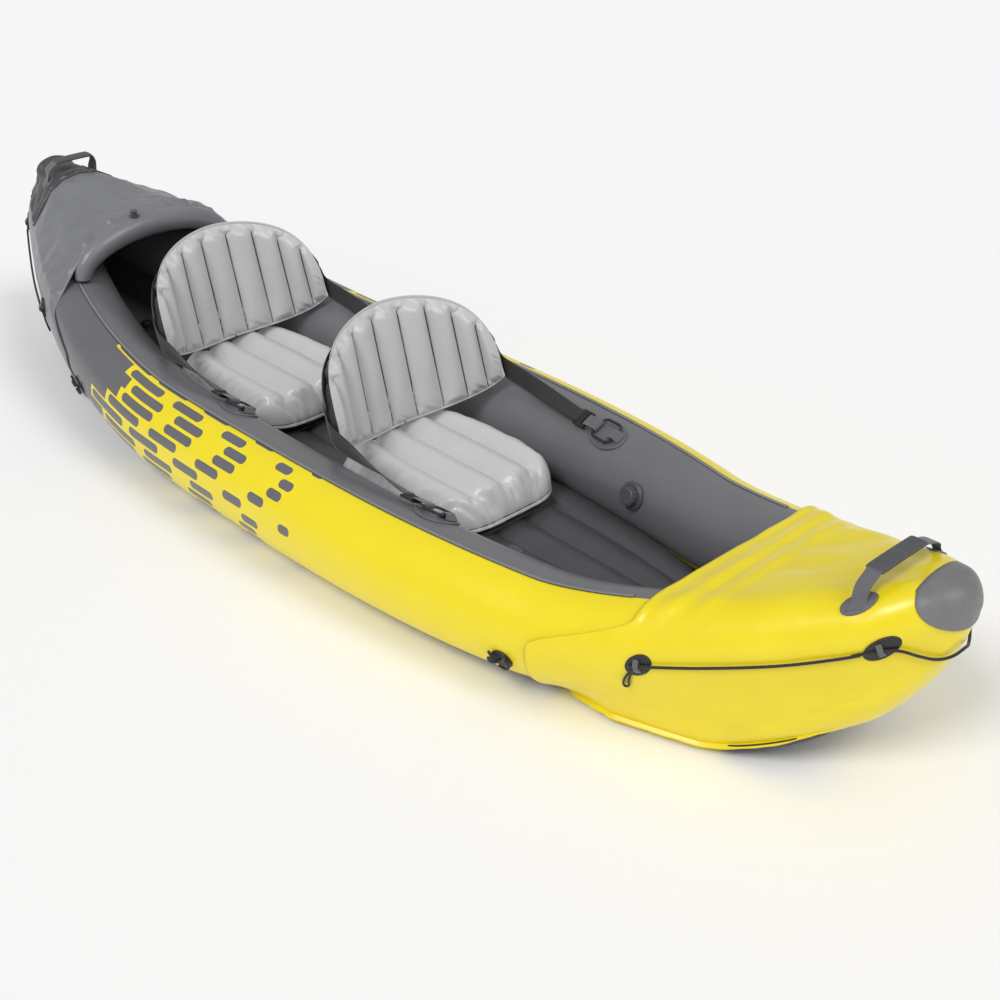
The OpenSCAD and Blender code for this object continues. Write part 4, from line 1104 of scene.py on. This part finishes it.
def blow_up(columns, rows, flat, welded):
    bm = bmesh.new()
    kept = bm.verts.layers.float_vector.new("flat")
    for layer, lift in ((0, SHEETS_APART), (1, -SHEETS_APART)):
        verts = bmesh.ops.create_grid(bm, x_segments=columns, y_segments=rows, size=0.5)["verts"]
        faces = list({f for v in verts for f in v.link_faces})
        for face in faces:
            face.material_index = layer
        if layer:
            bmesh.ops.reverse_faces(bm, faces=faces)
        for v in verts:
            i, j = round((v.co.x + 0.5) * columns), round((v.co.y + 0.5) * rows)
            joined = i in (0, columns) or j in (0, rows) or welded(i, j)
            v[kept] = (i / columns, j / rows, 0)
            v.co = Vector((*flat(i / columns, j / rows), 0 if joined else lift)) * MM
    bmesh.ops.remove_doubles(bm, verts=bm.verts, dist=WELD_M)
    pad = keep("flat_pad", bm, [])
    cloth = pad.modifiers.new("air", "CLOTH")
    for key, value in AIR.items():
        setattr(cloth.settings, key, value)
    cloth.settings.effector_weights.gravity = 0
    cloth.collision_settings.use_collision = False
    cloth.point_cache.frame_start, cloth.point_cache.frame_end = 1, FRAMES
    for number in range(1, FRAMES + 1):
        bpy.context.scene.frame_set(number)
    mesh = bpy.data.meshes.new_from_object(pad.evaluated_get(bpy.context.evaluated_depsgraph_get()))
    bpy.data.objects.remove(pad)
    bpy.context.scene.frame_set(1)
    return mesh


print("cloth frames", FRAMES)

# %% [markdown]
# ## Laying a pad onto its seat
# Each point of a pad goes to its place on the form of the seat, moved on by what the air did to it besides the even
# shrinking. The welded border of the sheets follows as a thin band, and short creases run in from it.

# %% Helpers for the pads
PINCH_DEEP, PINCH_MM, BAND_T, BAND_IN, BAND_STEPS = 0.7, 26, 1.4, 2, 72


def laid_onto(mesh, flat, place, swaps_axes=False):
    bm = bmesh.new()
    bm.from_mesh(mesh)
    kept = bm.verts.layers.float_vector["flat"]
    lower = {v for f in bm.faces if f.material_index for v in f.verts}
    upper = {v for f in bm.faces if not f.material_index for v in f.verts}
    was = {v: flat(v[kept].x, v[kept].y) for v in bm.verts}
    fit = []
    for k in (0, 1):
        low, high = (pick_end(v.co[k] / MM for v in bm.verts) for pick_end in (min, max))
        flat_low, flat_high = (pick_end(p[k] for p in was.values()) for pick_end in (min, max))
        fit.append((low, flat_low, (high - low) / (flat_high - flat_low)))
    for v in bm.verts:
        moved = [v.co[k] / MM - (fit[k][0] + (was[v][k] - fit[k][1]) * fit[k][2]) for k in (0, 1)]
        layer = 0 if v in lower and v in upper else 1 if v in upper else -1
        v.co = Vector(place(v[kept].x, v[kept].y, moved, v.co.z / MM, layer)) * MM
    if swaps_axes:
        bmesh.ops.reverse_faces(bm, faces=bm.faces)
    return bm


def rim_band(bm, place, wide, start=0.0, whole=False):
    n = BAND_STEPS
    ring = [(1, lerp(start, 1, i / n)) for i in range(n)] + [(1 - i / n, 1) for i in range(n)]
    ring += [(0, lerp(1, start, i / n)) for i in range(n + 1)]
    if whole:
        ring = [(i / n, 0) for i in range(n // 2, n)] + ring + [(i / n, 0) for i in range(1, n // 2 + 1)]
    points, across = [], []
    for u, v in ring:
        at, inward = (Vector(place(lerp(u, 0.5, t), lerp(v, 0.5, t), (0, 0), 0, 0)) for t in (0, 0.03))
        out = (at - inward).normalized()
        points.append(at + out * (wide / 2 - BAND_IN))
        across.append(out)
    band = flat_band(bm, points, across, [wide] * len(points), BAND_T, 2)
    bmesh.ops.recalc_face_normals(bm, faces=[f for f in band if f.is_valid])


def pinch(along, edge, reach):
    # Share of the height that is left in the creases
    return 1 - PINCH_DEEP * ridged(along / PINCH_MM, 7.3, 1.7) * (1 - smooth(edge / reach))


def air_pad(name, bm, node, body):
    pad = made(name, bm, [vinyl_silver, fabric_black], "pvc_silver", node, body, outward=False)
    detail = pad.modifiers.new("finer", "SUBSURF")
    detail.levels = detail.render_levels = 1
    print(name, len(pad.data.polygons), "faces")
    return pad


print("helpers for pads ready")

# %% [markdown]
# ## Seat cushions
# A cushion is an air bag of four lengthwise tubes, silver above and black below. The welds stop short of the front,
# so the tubes run together there and the front lip bulges over the black base.

# %% Cushions
BASE_Z, CUSHION_Z, FOLD_Z, PAD_ROWS = 95.9, 98.6, 213.3, 60
CUSHION_L, CUSHION_TUCK, CUSHION_W, CUSHION_H, CUSHION_TUBES = 422, 40, 372, 114, 4
LOBE_CELLS, RIM_Z, SOFT_EDGE, PLAY, VALLEY = 16, 27, 72, 0.3, 0.8
# The flat pad is larger than the blown-up one by these factors
CUT_WIDE, CUT_LONG = 1.2, 1.06


def cushion_side(s):
    return 1 - 0.09 * max(0, 1 - 2 * s) ** 2 - 0.16 * max(0, 2 * s - 1) ** 4


def cushion_flat(u, v):
    x = (2 * u - 1) * CUSHION_W * (CUT_WIDE / 2) * cushion_side(v)
    return x, v * (CUSHION_L * CUT_LONG - 46 * abs(2 * u - 1) ** 5 * v)


def cushion_weld(i, j):
    return i % LOBE_CELLS == 0 and 4 < j < 53


cushion_pad = blow_up(CUSHION_TUBES * LOBE_CELLS, PAD_ROWS, cushion_flat, cushion_weld)
cushion_swell = max(v.co.z for v in cushion_pad.vertices) / MM


def cushion_place(x0, u, v, moved, swell, layer):
    half = CUSHION_W / 2 * cushion_side(v)
    edge = max(0, min(half * (1 - abs(2 * u - 1)), (1 - v) * CUSHION_L, v * CUSHION_L + 30))
    rise = sqrt(max(0, 1 - max(0, 1 - edge / SOFT_EDGE) ** 2))
    play = PLAY * smooth(edge / 40)
    flat = cushion_flat(u, v)
    x, y = x0 - CUSHION_TUCK + flat[1] / CUT_LONG + play * moved[1], flat[0] / CUT_WIDE + play * moved[0]
    if layer < 0:
        return x, y, CUSHION_Z + max(0, RIM_Z + 1.6 * swell)
    above = lerp(0, CUSHION_H - RIM_Z - VALLEY * cushion_swell, rise) + VALLEY * max(0, swell)
    return x, y, CUSHION_Z + RIM_Z + above * pinch(x - y, edge, 48)


for name, x0 in SEATS:
    place = functools.partial(cushion_place, x0)
    bm = laid_onto(cushion_pad, cushion_flat, place, swaps_axes=True)
    rim_band(bm, place, 8, start=0.16)
    air_pad(name + "_air_cushion", bm, name + "_seat_cushion", "hull")
print("swell", round(cushion_swell, 1), "mm")

# %% [markdown]
# ## Fabric bases
# Under each cushion lies a flat piece of black fabric with round corners. Its grid runs from the middle to the edge and
# once round.

# %% Fabric bases
BASE_IN, BASE_WIDE, BASE_CORNER = 10, 0.43, 6


def base_place(x0, u, v):
    c, s = cos(2 * pi * u), sin(2 * pi * u)
    r = v * (abs(c) ** BASE_CORNER + abs(s) ** BASE_CORNER) ** (-1 / BASE_CORNER)
    x = x0 - CUSHION_TUCK + CUSHION_L / 2 + r * c * (CUSHION_L / 2 - BASE_IN)
    return x, r * s * BASE_WIDE * CUSHION_W, BASE_Z + 2


for name, x0 in SEATS:
    bm = gridded(72, 10, functools.partial(base_place, x0))
    base = made(name + "_seat_fabric", bm, [fabric_black], "fabric_black", name + "_seat_base", wall=1.8)

# %% [markdown]
# ## Backrests
# A backrest is a half oval with nine upright air tubes, bent so that its wings reach forward. Its welds stop short of
# the top, so the tops of the tubes stand up as scallops. The back of the pad is black, and a shell of black fabric is
# sewn over it.

# %% Backrests
BACK_H, BACK_W, BACK_T, BACK_WING, BACK_RAKE, BACK_TUBES = 285, 512, 62, 100, 15, 9
BACK_CELLS, BACK_FLAT, BACK_SPAN, BACK_HALF, WELD_STOP = 14, 366, 0.985, 300, 26
BACK_SHIFT, BACK_LIFT, BACK_SWEEP, BACK_TURN, BACK_EDGE = 6, 4.5, 77, 62, 0.998
SHELL_SPAN, SHELL_TOP, SHELL_FOOT, SHELL_OFF = 0.93, 0.9, 0.07, 2.4


def back_top(u):
    return BACK_H * (0.32 + 0.68 * sqrt(max(0, 1 - abs(u) ** 1.9)))


def back_low(u):
    return BACK_H * 0.22 * abs(u) ** 2.4


def back_spot(x0, u, z, d):
    s = abs(u)
    py = copysign(BACK_W / 2 * sin(radians(BACK_SWEEP * s)) / sin(radians(BACK_SWEEP)), u)
    a, lean = radians(copysign(BACK_TURN * s * s, u)), tan(radians(BACK_RAKE))
    return Vector((x0 + BACK_WING * s ** 1.6 + d * cos(a) - z * lean, py - d * sin(a), FOLD_Z + z))


def back_behind(x0, u, share, off):
    # A place on the back of the pad, share of the way up
    swell = sqrt(max(0, 1 - (2 * share - 1) ** 2)) ** 0.8
    d = -BACK_T * 0.3 * (1 - 0.75 * abs(u) ** 10) * swell - off
    return back_spot(x0, u, lerp(back_low(u), back_top(u), share), d)


def back_flat(u, v):
    u = BACK_SPAN * (2 * u - 1)
    return u * BACK_FLAT, lerp(back_low(u), back_top(u), v)


def back_weld(i, j):
    u = BACK_SPAN * (2 * i / (BACK_TUBES * BACK_CELLS) - 1)
    return i % BACK_CELLS == 0 and (back_top(u) - back_low(u)) * (1 - j / PAD_ROWS) > WELD_STOP


def back_place(x0, u, v, moved, swell, layer):
    u = BACK_SPAN * (2 * u - 1)
    high = back_top(u) - back_low(u)
    edge = min(v * high, (1 - v) * high, (BACK_SPAN - abs(u)) * BACK_HALF)
    play = PLAY * smooth(edge / 40)
    along = max(-BACK_EDGE, min(BACK_EDGE, u + play * moved[0] / BACK_HALF))
    out = swell * pinch(BACK_HALF * u + high * v, edge, 38) + BACK_SHIFT
    return back_spot(x0, along, lerp(back_low(u) + BACK_LIFT, back_top(u), v) + play * moved[1], out)


def shell_place(x0, u, v):
    return back_behind(x0, SHELL_SPAN * (2 * u - 1), lerp(SHELL_TOP, SHELL_FOOT, v), SHELL_OFF)


back_pad = blow_up(BACK_TUBES * BACK_CELLS, PAD_ROWS, back_flat, back_weld)
for name, x0 in SEATS:
    place, behind, body = functools.partial(back_place, x0), functools.partial(shell_place, x0), name + "_back"
    bm = laid_onto(back_pad, back_flat, place)
    rim_band(bm, place, 7, whole=True)
    pad = air_pad(name + "_air_backrest", bm, name + "_seat_back", body)
    bm = gridded(90, 30, behind)
    shell = made(name + "_back_fabric", bm, [fabric_black], "fabric_black", name + "_back_shell", body, 1.6, 0)
    spread_of(behind)

# %% [markdown]
# ## Seat straps
# Black webbing is sewn behind each wing and runs forward to a ladder buckle on the tube. It is wide at the wing and
# narrows to the buckle. It crosses the hinge of the backrest, and it is left on no body.

# %% Straps
STRAP_W, STRAP_ROOT_W, STRAP_OFF, BUCKLE_L, BUCKLE_T, RING_WIRE = 36, 64, 4.2, 34, 6, 6
BUCKLE_OFF = 1 + PATCH_T + 0.5 + 1 + STRAP_T + 0.5 + RING_WIRE / 2
BUCKLE_BACK, BACK_ROWS = RING_AHEAD - RING_PATCH_L / 2 - BUCKLE_L / 2 - 4, BACK_TUBES * 3


def in_frame(base, along, out):
    u, _, n, o = base
    return o + u * along + n * out


for name, x0 in SEATS:
    base = frame_at(tube_point(x0 + BUCKLE_BACK, RING_ANGLE), BUCKLE_OFF)
    bar = -BUCKLE_L / 2 + BUCKLE_L / 8
    root = [back_behind(x0, BACK_EDGE * (2 * i / BACK_ROWS - 1), 0.5, STRAP_OFF)
            for i in range(BACK_ROWS - 2, BACK_ROWS + 1)]
    far = in_frame(base, bar - 20, BUCKLE_T / 2 + 4)
    free = [root[2].lerp(far, i / 4) for i in range(1, 5)]
    ends = [in_frame(base, *p) for p in ((bar - 1, BUCKLE_T / 2 + 3), (bar + 4, 0), (bar + 4, -2))]
    path = curve_through(root + free + ends, 5)
    upright = Vector((-tan(radians(BACK_RAKE)), 0, 1))
    level = base[1] * copysign(1, base[1].z)
    shares = [i / (len(path) - 1) for i in range(len(path))]
    across = [upright.lerp(level, smooth((share - 0.2) / 0.55)) for share in shares]
    widths = [lerp(STRAP_ROOT_W, STRAP_W, smooth(1.5 * share)) for share in shares]
    for side, label in ((1, "port"), (-1, "starboard")):
        bm = bmesh.new()
        flat_band(bm, path, across, widths, STRAP_T, 8)
        bmesh.ops.scale(bm, vec=(1, side, 1), verts=bm.verts)
        strap = made(f"{name}_{label}_strap", bm, [webbing_black], "webbing_black", f"{name}_strap_{label}", body=None)
        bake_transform(strap)
    print(name, "straps", round(path_length(path)), "mm long each")

# %% [markdown]
# ## Fittings kept from the CAD model
# Rings, buckles, tabs, valves, caps and the skeg base already have their final shape, so they keep it and only get a
# finish.

# %% Finish the CAD fittings
KEPT = ((plastic_black, ("strap_rings", "strap_buckles", "floor_valve", "floor_valve_cap", "skeg_base")),
        (webbing_gray, ("ring_keepers", "strap_tabs", "line_loops")),
        (plastic_gray, ("valve_port", "valve_starboard", "valve_cap_port", "valve_cap_starboard", "coaming_valve",
                        "coaming_plug")))
for material, nodes in KEPT:
    for node in nodes:
        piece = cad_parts[node]
        piece.data.materials.clear()
        piece.data.materials.append(material)
    print(material.name, "on", ", ".join(nodes))

# %% [markdown]
# ## Floor and light
# A plain pale floor and big soft lamps, as in a studio. The level is set so that a colour renders about as it is
# written.

# %% Studio
FLOOR_SIZE_M, FLOOR_DROP_M, SKY_LIGHT = 40, 0.001, 0.45
bm = bmesh.new()
bmesh.ops.create_grid(bm, x_segments=1, y_segments=1, size=FLOOR_SIZE_M)
floor_paint, tree, shader = start("floor_paint", Roughness=0.9, Specular_IOR_Level=0.1)
shader.inputs["Base Color"].default_value = linear("#fbfbfb")
studio_floor = keep("studio_floor", bm, [floor_paint])
studio_floor.location.z = -FLOOR_DROP_M

world = bpy.data.worlds.new("studio")
bpy.context.scene.world = world
world.use_nodes = True
sky = world.node_tree.nodes["Background"].inputs
sky["Color"].default_value, sky["Strength"].default_value = (1, 1, 1, 1), SKY_LIGHT

for name, place, energy, spread in (("key", (0.3, -2.6, 3.0), 1.25, 22), ("fill", (2.6, 0.3, 3.0), 0.9, 30)):
    light = bpy.data.lights.new(name, "SUN")
    light.energy, light.angle = energy, radians(spread)
    lamp = bpy.data.objects.new(name, light)
    lamp.location = place
    lamp.rotation_mode = "QUATERNION"
    lamp.rotation_quaternion = (-Vector(place)).to_track_quat("-Z", "Y")
    bpy.context.scene.collection.objects.link(lamp)
bpy.context.scene.view_settings.view_transform = "Standard"
print("studio lit")
